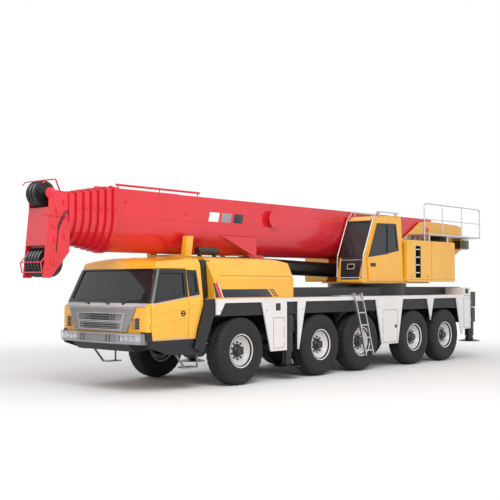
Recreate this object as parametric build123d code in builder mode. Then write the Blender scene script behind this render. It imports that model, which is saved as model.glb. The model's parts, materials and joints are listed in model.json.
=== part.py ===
from build123d import *
import os
from math import atan2, degrees, hypot

# Five-axle all-terrain mobile crane, boom lowered over the carrier for the road.
# Millimetres, +X forward, +Y to the left, +Z up. The ground is Z = 0, and the origin
# lies midway between the boom head's sheaves and the rear of the turntable.

CLEAR = 0.5  # running fit at pins, bores and slides
SEAT = 0.3  # gap between curved faces that bear on each other
OPEN = 10  # free gap round a piece that moves

# Carrier widths and levels
HALF_WIDTH = 1500
FRAME_HALF_W = 450
FRAME_BOTTOM = 1000
FRAME_TOP = 1780
DECK_THICK = 30
DECK_TOP = 1870
EDGE_DROP = 90
EDGE_THICK = 40
DECK_TAB_BOTTOM = 1535
LOCKER_TOP = 2075
LOCKER_BOTTOM = 870
CORNER_TOP = 1950
SKIRT_THICK = 30
BAND_BOTTOM = 1500
BAND_THICK = 20
FENDER_BOTTOM = 780
NOSE_BOTTOM = 800

# Running gear
FRONT_AXLE_X = 3325
AXLES = (  # distance behind the axle in front, steered
    (0, True),
    (2790, True),
    (1670, False),
    (2460, True),
    (1630, True),
)
TYRE_R = 740
TYRE_W = 445
TREAD_HALF = 195
SHOULDER = 16
RIM_SEAT_R = 317
FLANGE_R = 368
RIM_HALF = 188
RIM_WALL = 12
DISH_R = 262
DISC_IN = 36
DISC_THICK = 22
HUB_R = 142
HUB_IN = -60
HUB_CAP = 178
HUB_CAP_R = 92
LUG_COUNT = 10
LUG_R = 23
LUG_RING_R = 158
LUG_REACH = 46
SPINDLE_R = 70
SPINDLE_REACH = 100
KINGPIN_Y = 1000
KINGPIN_R = 45
KNUCKLE_R = 85
KNUCKLE_HALF_H = 115
FORK_THICK = 70
FORK_ROOT = 100
ARM_REACH = 330
ARM_W = 60
ARM_THICK = 36
BRAKE_R = 230
BRAKE_Y = 140
BRAKE_THICK = 20
BEAM_W = 200
BEAM_H = 200
BOWL_R = 215
BOWL_HALF_L = 200
SHAFT_TUBE_R = 55
STRUT_Y = 560
STRUT_R = 60
STRUT_SLEEVE_R = 78
STRUT_SLEEVE_BOTTOM = 1060
BRACKET_BOTTOM = 1330
BRACKET_TOP = 1470

# Outriggers: name, X of the jack, side, underside of the pad at rest
OUTRIGGERS = (
    ("front_left", 1630, 1, 290),
    ("front_right", 2075, -1, 290),
    ("rear_left", -6860, 1, 480),
    ("rear_right", -6505, -1, 480),
)
BEAM_BOX_W = 280
BEAM_BOX_H = 350
BEAM_Z = 1255
BEAM_TIP_Y = 1425
BEAM_TAIL_Y = -1330
BOX_WALL = 32
BOX_END_Y = 1440
JACK_Y = 1335
JACK_BAY = 200
JACK_R = 130
JACK_BORE_R = 100
JACK_TOP = 1485
JACK_BOTTOM = 640
RAM_TOP = 1400
PAD_R = 310
PAD_THICK = 70
PAD_LIP = 18
PAD_NECK_R = 120
PAD_NECK_H = 60

# Rear coupling
COUPLING_R = 25
COUPLING_REACH = 150
COUPLING_HALF_W = 80
COUPLING_Z = (1090, 1190)
COUPLING_THICK = 40

# Slewing ring, turntable and machinery house
SLEW_X = -3475
PEDESTAL_R = 1100
PEDESTAL_BOTTOM = 1560
TURNTABLE_BOTTOM = 2200
TURNTABLE_R = 1150
FLOOR_THICK = 40
FLOOR_FRONT = -2200
FLOOR_REAR = -5800
CHEEK_IN = 570
CHEEK_THICK = 40
CHEEK_EAR = 260
TAIL_X = -7725
TAIL_BEAM_LEN = 320
TAIL_BEAM_LOW = 3250
TAIL_BEAM_HIGH = 3600
HOUSE_OUT = 1450
HOUSE_TOP = 3380
HOUSE_REAR = -5845
HOUSE_CORNER = 60
HOUSE_GAP = 30
STEP_BAY_X = (-3972, -3737)
STEP_BAY_Z = (2360, 3220)
STEP_BAY_DEPTH = 220
STEP_RUNGS = 4
RUNG_R = 14
WINCH_X = -6980
WINCH_Z = 3080
WINCH_R = 255
WINCH_FLANGE_R = 330
WINCH_FLANGE_THICK = 25
WINCH_SHAFT_R = 60
WINCH_SIDE_GAP = 40
TANK_BOX = ((-7690, 610, 3250), (-7200, 900, 3530))

# Service platform
PLATFORM_Z = 3560
PLATFORM_THICK = 40
PLATFORM_X = (-7640, -4640)
PLATFORM_OUT = 1320
RAIL_TOP_Z = 4450
RAIL_R = 18
POST_R = 15
MID_RAIL_R = 12
POST_X = (-4430, -5420, -6530, -7620)
MID_RAIL_Z = 4010
RAIL_BEND = 110

# Boom
PIVOT_X = -5715
PIVOT_Z = 3780
PIVOT_R = 90
BOOM_REAR = -6075
BOOM_FRONT = 6105
BOOM_KNUCKLE_Z = 3550
BOOM_TOP = 4110
BOOM_BOTTOM = 2840
BOOM_HALF_W = 525
BELLY_R = 420
BOOM_WALL = 12
BOOM_GAP = 18
COLLAR_PROUD = 28
COLLAR_LEN = 110
COLLAR_PITCH = 160
COLLAR_LUG_Y = 150
TAIL_STEP = 60
TAIL_INSET = 160
PAD_RING_LEN = 60
SECTIONS = 7
GUIDE_Y = 350
GUIDE_Z = 4215
GUIDE_X = (3500, 5890)
GUIDE_R = 24
REEL_X = 1250
REEL_Z = 3740
REEL_R = 205
REEL_REACH = 120
REEL_RIM = 12

# Boom head
HEAD_HALF_W = 340
HEAD_PLATE = 30
HEAD_FACE_X = 7510
HEAD_TIP = 7640
HEAD_TOP = 4005
HEAD_BOTTOM = 2300
HEAD_COVER_TOP = 3660
COVER_THICK = 14
TOP_SHEAVE_R = 250
TOP_SHEAVE_X = 7475
TOP_SHEAVE_Z = 3930
LOW_SHEAVE_R = 285
LOW_SHEAVE_X = 7395
LOW_SHEAVE_Z = 2600
SHEAVE_W = 62
SHEAVE_PITCH = 100
SHEAVE_GROOVE = 30
SHAFT_R = 55
JIB_PIN_R = 35
JIB_PIN_X = 7400
JIB_PIN_Z = 3300

# Luffing cylinder
LIFT_X = -3075
LIFT_Z = 2520
ROD_EYE_X = 1275
ROD_EYE_Z = 2635
BARREL_R = 190
BARREL_BORE_R = 160
ROD_R = 120
LIFT_EYE_R = 185
ROD_EYE_R = 130
LIFT_PIN_R = 60
EYE_HALF_W = 122
BARREL_FRONT_GAP = 30
GLAND_LEN = 140
GLAND_PROUD = 10
PISTON_LEN = 120
LUG_THICK = 40
GUSSET_NOSE = (2960, 3275)
GUSSET_THICK = 25

# Driver's cab
CAB_HALF_W = 1400
CAB_EAVES_HALF_W = 1250
CAB_FLOOR = 1060
CAB_BELT = 1770
CAB_EAVES = 2500
CAB_CROWN = 2780
CAB_WALL = 60
CAB_REAR_X = 4380
CAB_FRONT_X = 5995
CAB_SWEEP = 75
CAB_CORNER_R = 120
ROOF_SHOULDER = 100
BELT_STEP_H = 70
SCREEN_STEP = 90
SCREEN_RAKE = 285
BROW_X = 5500
BUMPER_X = 6090
BUMPER_SWEEP = 60
BUMPER_HALF_W = 1300
BUMPER_LOW = 985
BUMPER_HIGH = 1205
BUMPER_DEPTH = 330
LAMP_Y = (660, 1270)
LAMP_Z = (1035, 1165)
LAMP_DEPTH = 40
GRILLE_PROUD = 35
GRILLE_HALF_W = (840, 1070)
GRILLE_Z = (1235, 1715)
SKID_BOTTOM = 830
SKID_HALF_W = 900
SILL_BOTTOM = 705
SILL_THICK = 70
DOOR_GAP = 12
DOOR_REAR_X = 4852
HINGE_R = 13
HINGE_Z = (1290, 1600)
HINGE_LEN = 80
GLASS_INSET = 18
GLASS_THICK = 10
STEP_X = (4500, 4880)
STEP_Z = 485
STEP_PLATE = 30
STEP_TREAD = 180
DASH_HALF_W = 1080
SEAT_X = 5150
SEAT_Y = 650
SEAT_W = 500
STEERING_R = 220

# Engine hood and boom rest
HOOD_REAR_X = 1485
HOOD_FRONT_X = 4075
HOOD_LEAN = 100
HOOD_TAIL_DROP = 77
HOOD_HALF_W = 1400
HOOD_SHOULDER_W = 1170
HOOD_SIDE_H = 420
HOOD_SHOULDER_Z = 2740
HOOD_CROWN = 2810
HOOD_ROUND = 150
HOOD_WALL = 30
ENGINE_H = 740
REST_X = 4100
REST_LEN = 200
REST_Y = 540
REST_W = 120
REST_LEAN = 80
REST_TOP = 3220
SILENCER_R = 80
SILENCER_Y = 640
SILENCER_Z = 2910
SILENCER_X = (3240, 3860)
INTAKE_X = (4030, 4310)
INTAKE_Y = (500, 1200)
INTAKE_Z = (1900, 2690)

# Operator's cab on the turntable
OP_FRONT_X = -1250
OP_REAR_X = -3265
OP_ROOF = 4010
OP_SILL = 2866
OP_DOOR_REAR_X = -2475
OP_IN = 610
OP_OUT = 1360
OP_WALL = 34
OP_DOOR_GAP = 6
OP_BAR_Y = (590, 1400)
OP_BAR_R = 17
OP_BAR_BEND = 60

# Ladders
LADDER_X = (-735, -1045)
LADDER_TOP = (1530, 1960)
LADDER_FOOT = (1880, 430)
LADDER_BAR = 32
RUNGS = 5
LADDER_TREAD = 240

axle_x = []
for behind, _ in AXLES:
    axle_x.append((axle_x[-1] if axle_x else FRONT_AXLE_X) - behind)
WHEEL_Y = HALF_WIDTH - TYRE_W / 2
RING_TOP = TURNTABLE_BOTTOM - CLEAR
TURNTABLE_TOP = TURNTABLE_BOTTOM + FLOOR_THICK
OP_FLOOR = TURNTABLE_TOP
FRAME_FRONT = CAB_FRONT_X - 385
FRAME_KICK = CAB_REAR_X
FRAME_REAR = OUTRIGGERS[2][1] - BEAM_BOX_W / 2 - 3 * BOX_WALL
DECK_FRONT = FRAME_KICK - 255
DECK_REAR = FRAME_REAR + 860
UPPER_FRAME_FRONT = HOOD_REAR_X - 85
UPPER_FRAME_TOP = TURNTABLE_BOTTOM - 105
UPPER_FRAME_HALF_W = 2 * FRAME_HALF_W
SIDES = (("left", 1), ("right", -1))

os.makedirs("parts", exist_ok=True)


def save(part, name):
    """Label a finished piece and write it out."""
    part.label = name
    export_step(part, f"parts/{name}.step")


def box_between(low, high, mode=Mode.ADD):
    """A box given by two opposite corners."""
    centre = tuple((a + b) / 2 for a, b in zip(low, high))
    size = [abs(b - a) for a, b in zip(low, high)]
    with Locations(centre):
        return Box(*size, mode=mode)


def side_sheet(points, y_one, y_two, mode=Mode.ADD, corner=0):
    """An outline in X and Z, made solid from one Y to another, its corners rounded."""
    y_low = min(y_one, y_two)
    with BuildSketch(Plane.XZ.offset(-y_low)) as sheet:
        with BuildLine():
            Polyline(*points, close=True)
        make_face()
        if corner:
            fillet(sheet.vertices(), corner)
    extrude(sheet.sketch, amount=-abs(y_two - y_one), mode=mode)


def cross_bar(x, z, radius, y_one, y_two, mode=Mode.ADD):
    """A round bar or bore along Y."""
    y_low = min(y_one, y_two)
    with BuildSketch(Plane.XZ.offset(-y_low)) as disc:
        with Locations((x, z)):
            Circle(radius)
    extrude(disc.sketch, amount=-abs(y_two - y_one), mode=mode)


def post(x, y, radius, z_low, z_high, mode=Mode.ADD):
    """A round post or bore along Z."""
    with BuildSketch(Plane.XY.offset(z_low)) as disc:
        with Locations((x, y)):
            Circle(radius)
    extrude(disc.sketch, amount=z_high - z_low, mode=mode)


def bent_tube(points, bend, radius):
    """A round tube along straight runs with equal bends."""
    with BuildLine() as path:
        FilletPolyline(*points, radius=bend)
    with BuildSketch(Plane(path.line @ 0, z_dir=path.line % 0)) as ring:
        Circle(radius)
    sweep(ring.sketch, path=path.line)


# Wheels: tyre, then rim and hub in one piece, turned about the axle line
tyre_bead = RIM_HALF - RIM_WALL - SEAT
disc_out = DISC_IN + DISC_THICK
rim_bore = RIM_SEAT_R - RIM_WALL
rim_outline = (  # out from the wheel's middle plane, radius
    (-RIM_HALF, FLANGE_R),
    (-RIM_HALF, rim_bore),
    (DISC_IN - RIM_HALF / 2, rim_bore),
    (DISC_IN, DISH_R),
    (DISC_IN, HUB_R),
    (HUB_IN, HUB_R),
    (HUB_IN, SPINDLE_R + CLEAR),
    (SPINDLE_REACH + CLEAR, SPINDLE_R + CLEAR),
    (SPINDLE_REACH + CLEAR, 0),
    (HUB_CAP, 0),
    (HUB_CAP, HUB_CAP_R),
    (disc_out + LUG_REACH, HUB_R),
    (disc_out, HUB_R),
    (disc_out, DISH_R),
    (RIM_HALF / 2, rim_bore),
    (RIM_HALF, rim_bore),
    (RIM_HALF, FLANGE_R),
    (RIM_HALF - RIM_WALL, FLANGE_R),
    (RIM_HALF - RIM_WALL, RIM_SEAT_R),
    (RIM_WALL - RIM_HALF, RIM_SEAT_R),
    (RIM_WALL - RIM_HALF, FLANGE_R),
)
for number, x in enumerate(axle_x, start=1):
    for side_name, side in SIDES:
        hub_plane = Plane((x, side * WHEEL_Y, TYRE_R), x_dir=(0, side, 0), z_dir=(side, 0, 0))
        lug_plane = Plane((x, side * WHEEL_Y, TYRE_R), x_dir=(1, 0, 0), z_dir=(0, side, 0))
        turn_axis = Axis((x, 0, TYRE_R), (0, 1, 0))
        with BuildPart() as wheel:
            with BuildSketch(hub_plane):
                with BuildLine():
                    foot = Polyline(
                        (-tyre_bead, FLANGE_R + CLEAR),
                        (-tyre_bead, RIM_SEAT_R + SEAT),
                        (tyre_bead, RIM_SEAT_R + SEAT),
                        (tyre_bead, FLANGE_R + CLEAR),
                    )
                    bulge = (TYRE_W / 2, (FLANGE_R + TYRE_R) / 2)
                    edge = (TREAD_HALF, TYRE_R - SHOULDER)
                    crown = (TREAD_HALF / 2, TYRE_R)
                    ThreePointArc(foot @ 1, bulge, edge)
                    Polyline(edge, crown, (-crown[0], crown[1]), (-edge[0], edge[1]))
                    ThreePointArc((-edge[0], edge[1]), (-bulge[0], bulge[1]), foot @ 0)
                make_face()
            revolve(axis=turn_axis)
            with BuildSketch(hub_plane):
                with BuildLine():
                    Polyline(*rim_outline, close=True)
                make_face()
            revolve(axis=turn_axis)
            with BuildSketch(lug_plane.offset(disc_out)):
                with PolarLocations(LUG_RING_R, LUG_COUNT):
                    Circle(LUG_R)
            extrude(amount=LUG_REACH)
        save(wheel.part, f"wheel_{number}_{side_name}")

# Steering knuckles: kingpin, spindle, brake disc and the arm for the track rod
spindle_y = WHEEL_Y + SPINDLE_REACH
for number, (x, (_, steered)) in enumerate(zip(axle_x, AXLES), start=1):
    for side_name, side in SIDES:
        if not steered:
            continue
        outward = Plane((x, side * KINGPIN_Y, TYRE_R), x_dir=(1, 0, 0), z_dir=(0, side, 0))
        with BuildPart() as knuckle:
            with Locations((x, side * KINGPIN_Y, TYRE_R)):
                Cylinder(KNUCKLE_R, 2 * KNUCKLE_HALF_H)
                Cylinder(KINGPIN_R, 2 * (KNUCKLE_HALF_H + OPEN + FORK_THICK))
            with BuildSketch(outward):
                Circle(SPINDLE_R)
            extrude(amount=spindle_y - KINGPIN_Y)
            with BuildSketch(outward.offset(BRAKE_Y)):
                Circle(BRAKE_R)
            extrude(amount=BRAKE_THICK)
            with BuildSketch(Plane.XY.offset(TYRE_R - KNUCKLE_HALF_H)):
                with Locations((x - ARM_REACH / 2, side * KINGPIN_Y)):
                    SlotOverall(ARM_REACH + ARM_W, ARM_W)
            extrude(amount=ARM_THICK)
        save(knuckle.part, f"knuckle_{number}_{side_name}")

# Axle beams with their bowls, forks and struts, and the drive shafts from bowl to bowl
beam_end = KINGPIN_Y - KNUCKLE_R - 4 * OPEN
fork_low = KNUCKLE_HALF_H + OPEN
fork_high = fork_low + FORK_THICK
with BuildPart() as axles:
    for x, (_, steered) in zip(axle_x, AXLES):
        with Locations((x, 0, TYRE_R)):
            Box(BEAM_W, 2 * beam_end, BEAM_H)
            Cylinder(BOWL_R, 2 * BOWL_HALF_L, rotation=(0, 90, 0))
        for _, side in SIDES:
            post(x, side * STRUT_Y, STRUT_R, TYRE_R + BEAM_H / 2, BRACKET_BOTTOM)
            post(x, side * STRUT_Y, STRUT_SLEEVE_R, STRUT_SLEEVE_BOTTOM, BRACKET_BOTTOM)
            if steered:
                box_between(
                    (x - KNUCKLE_R, side * (beam_end - FORK_ROOT), TYRE_R - fork_high),
                    (x + KNUCKLE_R, side * beam_end, TYRE_R + fork_high),
                )
                for level in (fork_low, -fork_high):
                    with BuildSketch(Plane.XY.offset(TYRE_R + level)):
                        with Locations((x, side * KINGPIN_Y)):
                            Circle(KNUCKLE_R)
                        with Locations((x, side * (KINGPIN_Y + beam_end) / 2)):
                            Rectangle(2 * KNUCKLE_R, KINGPIN_Y - beam_end)
                        with Locations((x, side * KINGPIN_Y)):
                            Circle(KINGPIN_R + CLEAR, mode=Mode.SUBTRACT)
                    extrude(amount=FORK_THICK)
            else:
                cross_bar(x, TYRE_R, SPINDLE_R, side * (beam_end - OPEN), side * spindle_y)
                brake_y = KINGPIN_Y + BRAKE_Y
                cross_bar(x, TYRE_R, BRAKE_R, side * brake_y, side * (brake_y + BRAKE_THICK))
    for front, rear in zip(axle_x, axle_x[1:]):
        with BuildSketch(Plane.YZ.offset(rear + BOWL_HALF_L - OPEN)):
            with Locations((0, TYRE_R)):
                Circle(SHAFT_TUBE_R)
        extrude(amount=front - rear - 2 * BOWL_HALF_L + 2 * OPEN)
save(axles.part, "axles")

# Outrigger beams with their jack housings, and the jacks with their pads
beam_low = BEAM_Z - BEAM_BOX_H / 2
beam_high = BEAM_Z + BEAM_BOX_H / 2
for name, x, side, pad_bottom in OUTRIGGERS:
    with BuildPart() as beam:
        box_between(
            (x - BEAM_BOX_W / 2, side * BEAM_TIP_Y, beam_low),
            (x + BEAM_BOX_W / 2, side * BEAM_TAIL_Y, beam_high),
        )
        post(x, side * JACK_Y, JACK_R, JACK_BOTTOM, JACK_TOP)
        post(x, side * JACK_Y, JACK_BORE_R, JACK_BOTTOM, RAM_TOP + OPEN, mode=Mode.SUBTRACT)
    save(beam.part, f"outrigger_beam_{name}")
    pad_top = pad_bottom + PAD_THICK
    with BuildPart() as jack:
        post(x, side * JACK_Y, PAD_R, pad_bottom, pad_bottom + PAD_LIP)
        with BuildSketch(Plane.XY.offset(pad_bottom + PAD_LIP)):
            with Locations((x, side * JACK_Y)):
                Circle(PAD_R)
        with BuildSketch(Plane.XY.offset(pad_top)):
            with Locations((x, side * JACK_Y)):
                Circle(PAD_NECK_R)
        loft()
        post(x, side * JACK_Y, PAD_NECK_R, pad_top, pad_top + PAD_NECK_H)
        post(x, side * JACK_Y, JACK_BORE_R - CLEAR, pad_top + PAD_NECK_H, RAM_TOP)
    save(jack.part, f"outrigger_jack_{name}")

# Chassis frame with the outrigger boxes, strut brackets, slewing ring and rear coupling
with BuildPart() as frame:
    side_sheet(
        (
            (FRAME_FRONT, NOSE_BOTTOM),
            (FRAME_FRONT, CAB_FLOOR),
            (FRAME_KICK, CAB_FLOOR),
            (FRAME_KICK - 150, FRAME_TOP),
            (FRAME_REAR, FRAME_TOP),
            (FRAME_REAR, FRAME_BOTTOM),
            (FRAME_KICK - 150, FRAME_BOTTOM),
            (FRAME_KICK, NOSE_BOTTOM),
        ),
        -FRAME_HALF_W,
        FRAME_HALF_W,
    )
    side_sheet(
        (
            (UPPER_FRAME_FRONT, FRAME_TOP),
            (UPPER_FRAME_FRONT - 120, UPPER_FRAME_TOP),
            (FRAME_REAR, UPPER_FRAME_TOP),
            (FRAME_REAR, FRAME_TOP),
        ),
        -UPPER_FRAME_HALF_W,
        UPPER_FRAME_HALF_W,
    )
    for x in axle_x:
        box_between(
            (x - 2 * STRUT_R, -STRUT_Y - 1.4 * STRUT_SLEEVE_R, BRACKET_BOTTOM),
            (x + 2 * STRUT_R, STRUT_Y + 1.4 * STRUT_SLEEVE_R, BRACKET_TOP),
        )
    for first, second in (OUTRIGGERS[:2], OUTRIGGERS[2:]):
        low_x = min(first[1], second[1]) - BEAM_BOX_W / 2 - BOX_WALL
        high_x = max(first[1], second[1]) + BEAM_BOX_W / 2 + BOX_WALL
        box_between(
            (low_x, -BOX_END_Y, beam_low - BOX_WALL),
            (high_x, BOX_END_Y, beam_high + BOX_WALL + OPEN),
        )
        box_between(
            (low_x, -FRAME_HALF_W, beam_low),
            (high_x, FRAME_HALF_W, FRAME_TOP),
        )
    for _, x, side, _ in OUTRIGGERS[2:]:
        box_between(
            (x - JACK_BAY, side * FRAME_HALF_W, BAND_BOTTOM),
            (x + JACK_BAY, side * BOX_END_Y, CORNER_TOP),
        )
    for _, x, side, _ in OUTRIGGERS:
        box_between(
            (x - BEAM_BOX_W / 2 - OPEN / 2, side * (BEAM_TAIL_Y - OPEN), beam_low - CLEAR),
            (x + BEAM_BOX_W / 2 + OPEN / 2, side * 2 * HALF_WIDTH, beam_high + OPEN / 2),
            mode=Mode.SUBTRACT,
        )
        box_between(
            (x - BEAM_BOX_W / 2 - OPEN / 2, side * (JACK_Y - JACK_R - OPEN), beam_low - 2 * BOX_WALL),
            (x + BEAM_BOX_W / 2 + OPEN / 2, side * 2 * HALF_WIDTH, beam_high + 2 * BOX_WALL),
            mode=Mode.SUBTRACT,
        )
    post(SLEW_X, 0, PEDESTAL_R, PEDESTAL_BOTTOM, RING_TOP)
    for level in COUPLING_Z:
        box_between(
            (FRAME_REAR - COUPLING_REACH, -COUPLING_HALF_W, level),
            (FRAME_REAR, COUPLING_HALF_W, level + COUPLING_THICK),
        )
    coupling_x = FRAME_REAR - COUPLING_REACH / 2
    post(
        coupling_x,
        0,
        COUPLING_R,
        COUPLING_Z[0] - OPEN,
        COUPLING_Z[1] + COUPLING_THICK + OPEN,
        mode=Mode.SUBTRACT,
    )
save(frame.part, "chassis_frame")


# Deck plates with their white edge, the skirts that hang from it and the lockers at the rear
SKIRTS = (  # outlines in X and Z, cut for the jacks that stand in them
    ((2685, FRAME_TOP), (2385, 680), (1395, 680), (1135, FRAME_TOP)),
    ((-1735, FRAME_TOP), (-2005, 620), (-2755, 620), (-3005, FRAME_TOP)),
    ((-4235, FRAME_TOP), (-4410, 1180), (-4585, FRAME_TOP)),
    ((-5825, FRAME_TOP), (-6105, 720), (-6215, 720), (-6215, FRAME_TOP)),
    (
        (DECK_FRONT - 265, FRAME_TOP),
        (DECK_FRONT - 105, DECK_TAB_BOTTOM),
        (DECK_FRONT, DECK_TAB_BOTTOM),
        (DECK_FRONT, FRAME_TOP),
    ),
)
rear_bay = (  # side, rear and front end of the locker beside the jack
    (1, OUTRIGGERS[2][1] + JACK_BAY, DECK_REAR),
    (-1, FRAME_REAR, OUTRIGGERS[3][1] - JACK_BAY),
)
with BuildPart() as deck:
    for _, side in SIDES:
        lip = side * (HALF_WIDTH - EDGE_THICK)
        skin = side * (HALF_WIDTH - SKIRT_THICK)
        box_between(
            (DECK_REAR, side * FRAME_HALF_W, DECK_TOP - DECK_THICK),
            (DECK_FRONT, side * HALF_WIDTH, DECK_TOP),
        )
        box_between(
            (DECK_REAR, lip, DECK_TOP - EDGE_DROP),
            (DECK_FRONT, side * HALF_WIDTH, DECK_TOP),
        )
        for outline in SKIRTS:
            side_sheet(outline, skin, side * HALF_WIDTH)
        for _, x, jack_side, _ in OUTRIGGERS[:2]:
            if jack_side == side:
                box_between(
                    (x - JACK_BAY, skin - side * OPEN, 0),
                    (x + JACK_BAY, side * (HALF_WIDTH + OPEN), FRAME_TOP),
                    mode=Mode.SUBTRACT,
                )
    for side, low_x, high_x in rear_bay:
        skin = side * (HALF_WIDTH - SKIRT_THICK)
        box_between(
            (low_x, side * UPPER_FRAME_HALF_W, BAND_BOTTOM),
            (high_x, side * HALF_WIDTH, LOCKER_TOP),
        )
        box_between(
            (low_x, skin, LOCKER_BOTTOM),
            (high_x, side * HALF_WIDTH, BAND_BOTTOM),
        )
    box_between(
        (FRAME_REAR, -UPPER_FRAME_HALF_W, FRAME_TOP),
        (UPPER_FRAME_FRONT, UPPER_FRAME_HALF_W, RING_TOP),
        mode=Mode.SUBTRACT,
    )
    post(SLEW_X, 0, PEDESTAL_R + SEAT, FRAME_TOP, RING_TOP, mode=Mode.SUBTRACT)
save(deck.part, "carrier_deck")

# Dark mudguards: a band under the deck's edge, a shelf over the tyres, a fender behind the cab,
# a sill under each door and the skid plate under the bumper
front_jacks = (OUTRIGGERS[0][1], OUTRIGGERS[1][1])
outrigger_box = (min(front_jacks) - JACK_BAY, max(front_jacks) + JACK_BAY)
with BuildPart() as mudguards:
    for _, side in SIDES:
        out = side * (HALF_WIDTH - EDGE_THICK)
        back = side * (HALF_WIDTH - EDGE_THICK - BAND_THICK)
        side_sheet(
            (
                (DECK_REAR, BAND_BOTTOM),
                (DECK_FRONT + 40, BAND_BOTTOM),
                (DECK_FRONT + 335, FENDER_BOTTOM),
                (DECK_FRONT + 600, FENDER_BOTTOM + 80),
                (DECK_FRONT + 340, FRAME_TOP - 130),
                (DECK_FRONT + 281, DECK_TOP),
                (DECK_FRONT, DECK_TOP),
                (DECK_FRONT, DECK_TOP - DECK_THICK),
                (DECK_REAR, DECK_TOP - DECK_THICK),
            ),
            out,
            back,
        )
        box_between(
            (DECK_REAR, side * UPPER_FRAME_HALF_W, BAND_BOTTOM),
            (DECK_FRONT, back, BAND_BOTTOM + BAND_THICK),
        )
        side_sheet(
            (
                (CAB_REAR_X + 20, SILL_BOTTOM),
                (CAB_REAR_X + 280, CAB_FLOOR),
                (CAB_FRONT_X - 125, CAB_FLOOR),
                (CAB_FRONT_X - 125, CAB_FLOOR - 125),
                (CAB_FRONT_X - 620, CAB_FLOOR - 290),
            ),
            side * (CAB_HALF_W - SILL_THICK),
            side * CAB_HALF_W,
        )
    box_between(
        (outrigger_box[0], -BOX_END_Y, BAND_BOTTOM - BOX_WALL),
        (outrigger_box[1], BOX_END_Y, BAND_BOTTOM + BAND_THICK),
        mode=Mode.SUBTRACT,
    )
    post(SLEW_X, 0, PEDESTAL_R + SEAT, BAND_BOTTOM, RING_TOP, mode=Mode.SUBTRACT)
    side_sheet(
        (
            (FRAME_FRONT, SKID_BOTTOM),
            (FRAME_FRONT, BUMPER_LOW),
            (BUMPER_X - BUMPER_SWEEP, BUMPER_LOW),
            (BUMPER_X - 240, SKID_BOTTOM),
        ),
        -SKID_HALF_W,
        SKID_HALF_W,
    )
save(mudguards.part, "mudguards")


# Driver's cab: the form between five levels under a crowned roof
cab_levels = (  # level, back, front on the centre line, half width
    (CAB_FLOOR, CAB_REAR_X + 260, CAB_FRONT_X - 25, CAB_HALF_W),
    (CAB_FLOOR + 190, CAB_REAR_X + 215, CAB_FRONT_X, CAB_HALF_W),
    (CAB_BELT - BELT_STEP_H, CAB_REAR_X + 55, CAB_FRONT_X - 5, CAB_HALF_W),
    (CAB_BELT, CAB_REAR_X + 25, CAB_FRONT_X - SCREEN_STEP, CAB_HALF_W - 5),
    (CAB_EAVES, CAB_REAR_X - 25, CAB_FRONT_X - SCREEN_STEP - SCREEN_RAKE, CAB_EAVES_HALF_W),
)
roof_stations = (  # X, height on the centre line, height at the shoulders
    (CAB_REAR_X - 300, CAB_CROWN + 15, CAB_CROWN - 36),
    (BROW_X - 100, CAB_CROWN - 52, CAB_CROWN - 135),
    (BROW_X, CAB_CROWN - 72, CAB_CROWN - 160),
    (BROW_X + 80, CAB_CROWN - 135, CAB_CROWN - 210),
    (CAB_FRONT_X, CAB_CROWN - 560, CAB_CROWN - 640),
)


def cab_plan(level, back, front, half, inset, stretch):
    """The cab at one level, bowed in front and cut back by an inset; a stretch moves both ends out."""
    corner_x = front - CAB_SWEEP - inset + stretch
    with BuildSketch(Plane.XY.offset(level)) as plan:
        with BuildLine():
            Polyline(
                (corner_x, half - inset),
                (back + inset - stretch, half - inset),
                (back + inset - stretch, inset - half),
                (corner_x, inset - half),
            )
            ThreePointArc((corner_x, inset - half), (corner_x + CAB_SWEEP, 0), (corner_x, half - inset))
        make_face()
        fillet(plan.vertices().group_by(Axis.X)[-1], CAB_CORNER_R - inset)
    return plan.sketch


def cab_form(inset, stretch=0):
    """The cab as a solid, cut back by an inset on every side."""
    rise = (CAB_CROWN + OPEN - CAB_EAVES) / (CAB_EAVES - CAB_BELT)
    top = [high + (high - low) * rise for low, high in zip(cab_levels[-2], cab_levels[-1])]
    floor = (CAB_FLOOR + inset - stretch, *cab_levels[0][1:])
    plans = [cab_plan(*row, inset, stretch) for row in (floor, *cab_levels[1:], top)]
    with BuildPart() as body:
        loft(sections=plans, ruled=True)
        roof = []
        shoulder_y = CAB_EAVES_HALF_W - ROOF_SHOULDER - inset
        for x, centre_z, side_z in roof_stations:
            with BuildSketch(Plane.YZ.offset(x - inset / 2)) as station:
                with BuildLine():
                    arch = ThreePointArc(
                        (-shoulder_y, side_z - inset),
                        (0, centre_z - inset),
                        (shoulder_y, side_z - inset),
                    )
                    Polyline(
                        arch @ 1,
                        (shoulder_y + ROOF_SHOULDER, side_z - inset - 1.5 * ROOF_SHOULDER),
                        (2 * CAB_HALF_W, -CAB_HALF_W),
                        (-2 * CAB_HALF_W, -CAB_HALF_W),
                        (-shoulder_y - ROOF_SHOULDER, side_z - inset - 1.5 * ROOF_SHOULDER),
                        arch @ 0,
                    )
                make_face()
                fillet(station.vertices().group_by(Axis.Y)[2], ROOF_SHOULDER)
                fillet(station.vertices().group_by(Axis.Y)[-3], ROOF_SHOULDER)
            roof.append(station.sketch)
        loft(sections=roof, ruled=True, mode=Mode.INTERSECT)
    return body.part


cab_outer = cab_form(0)
cab_inner = cab_form(CAB_WALL)
cab_core = cab_form(CAB_WALL, stretch=HALF_WIDTH)
glass_outer = cab_form(GLASS_INSET)
glass_inner = cab_form(GLASS_INSET + GLASS_THICK)


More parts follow.
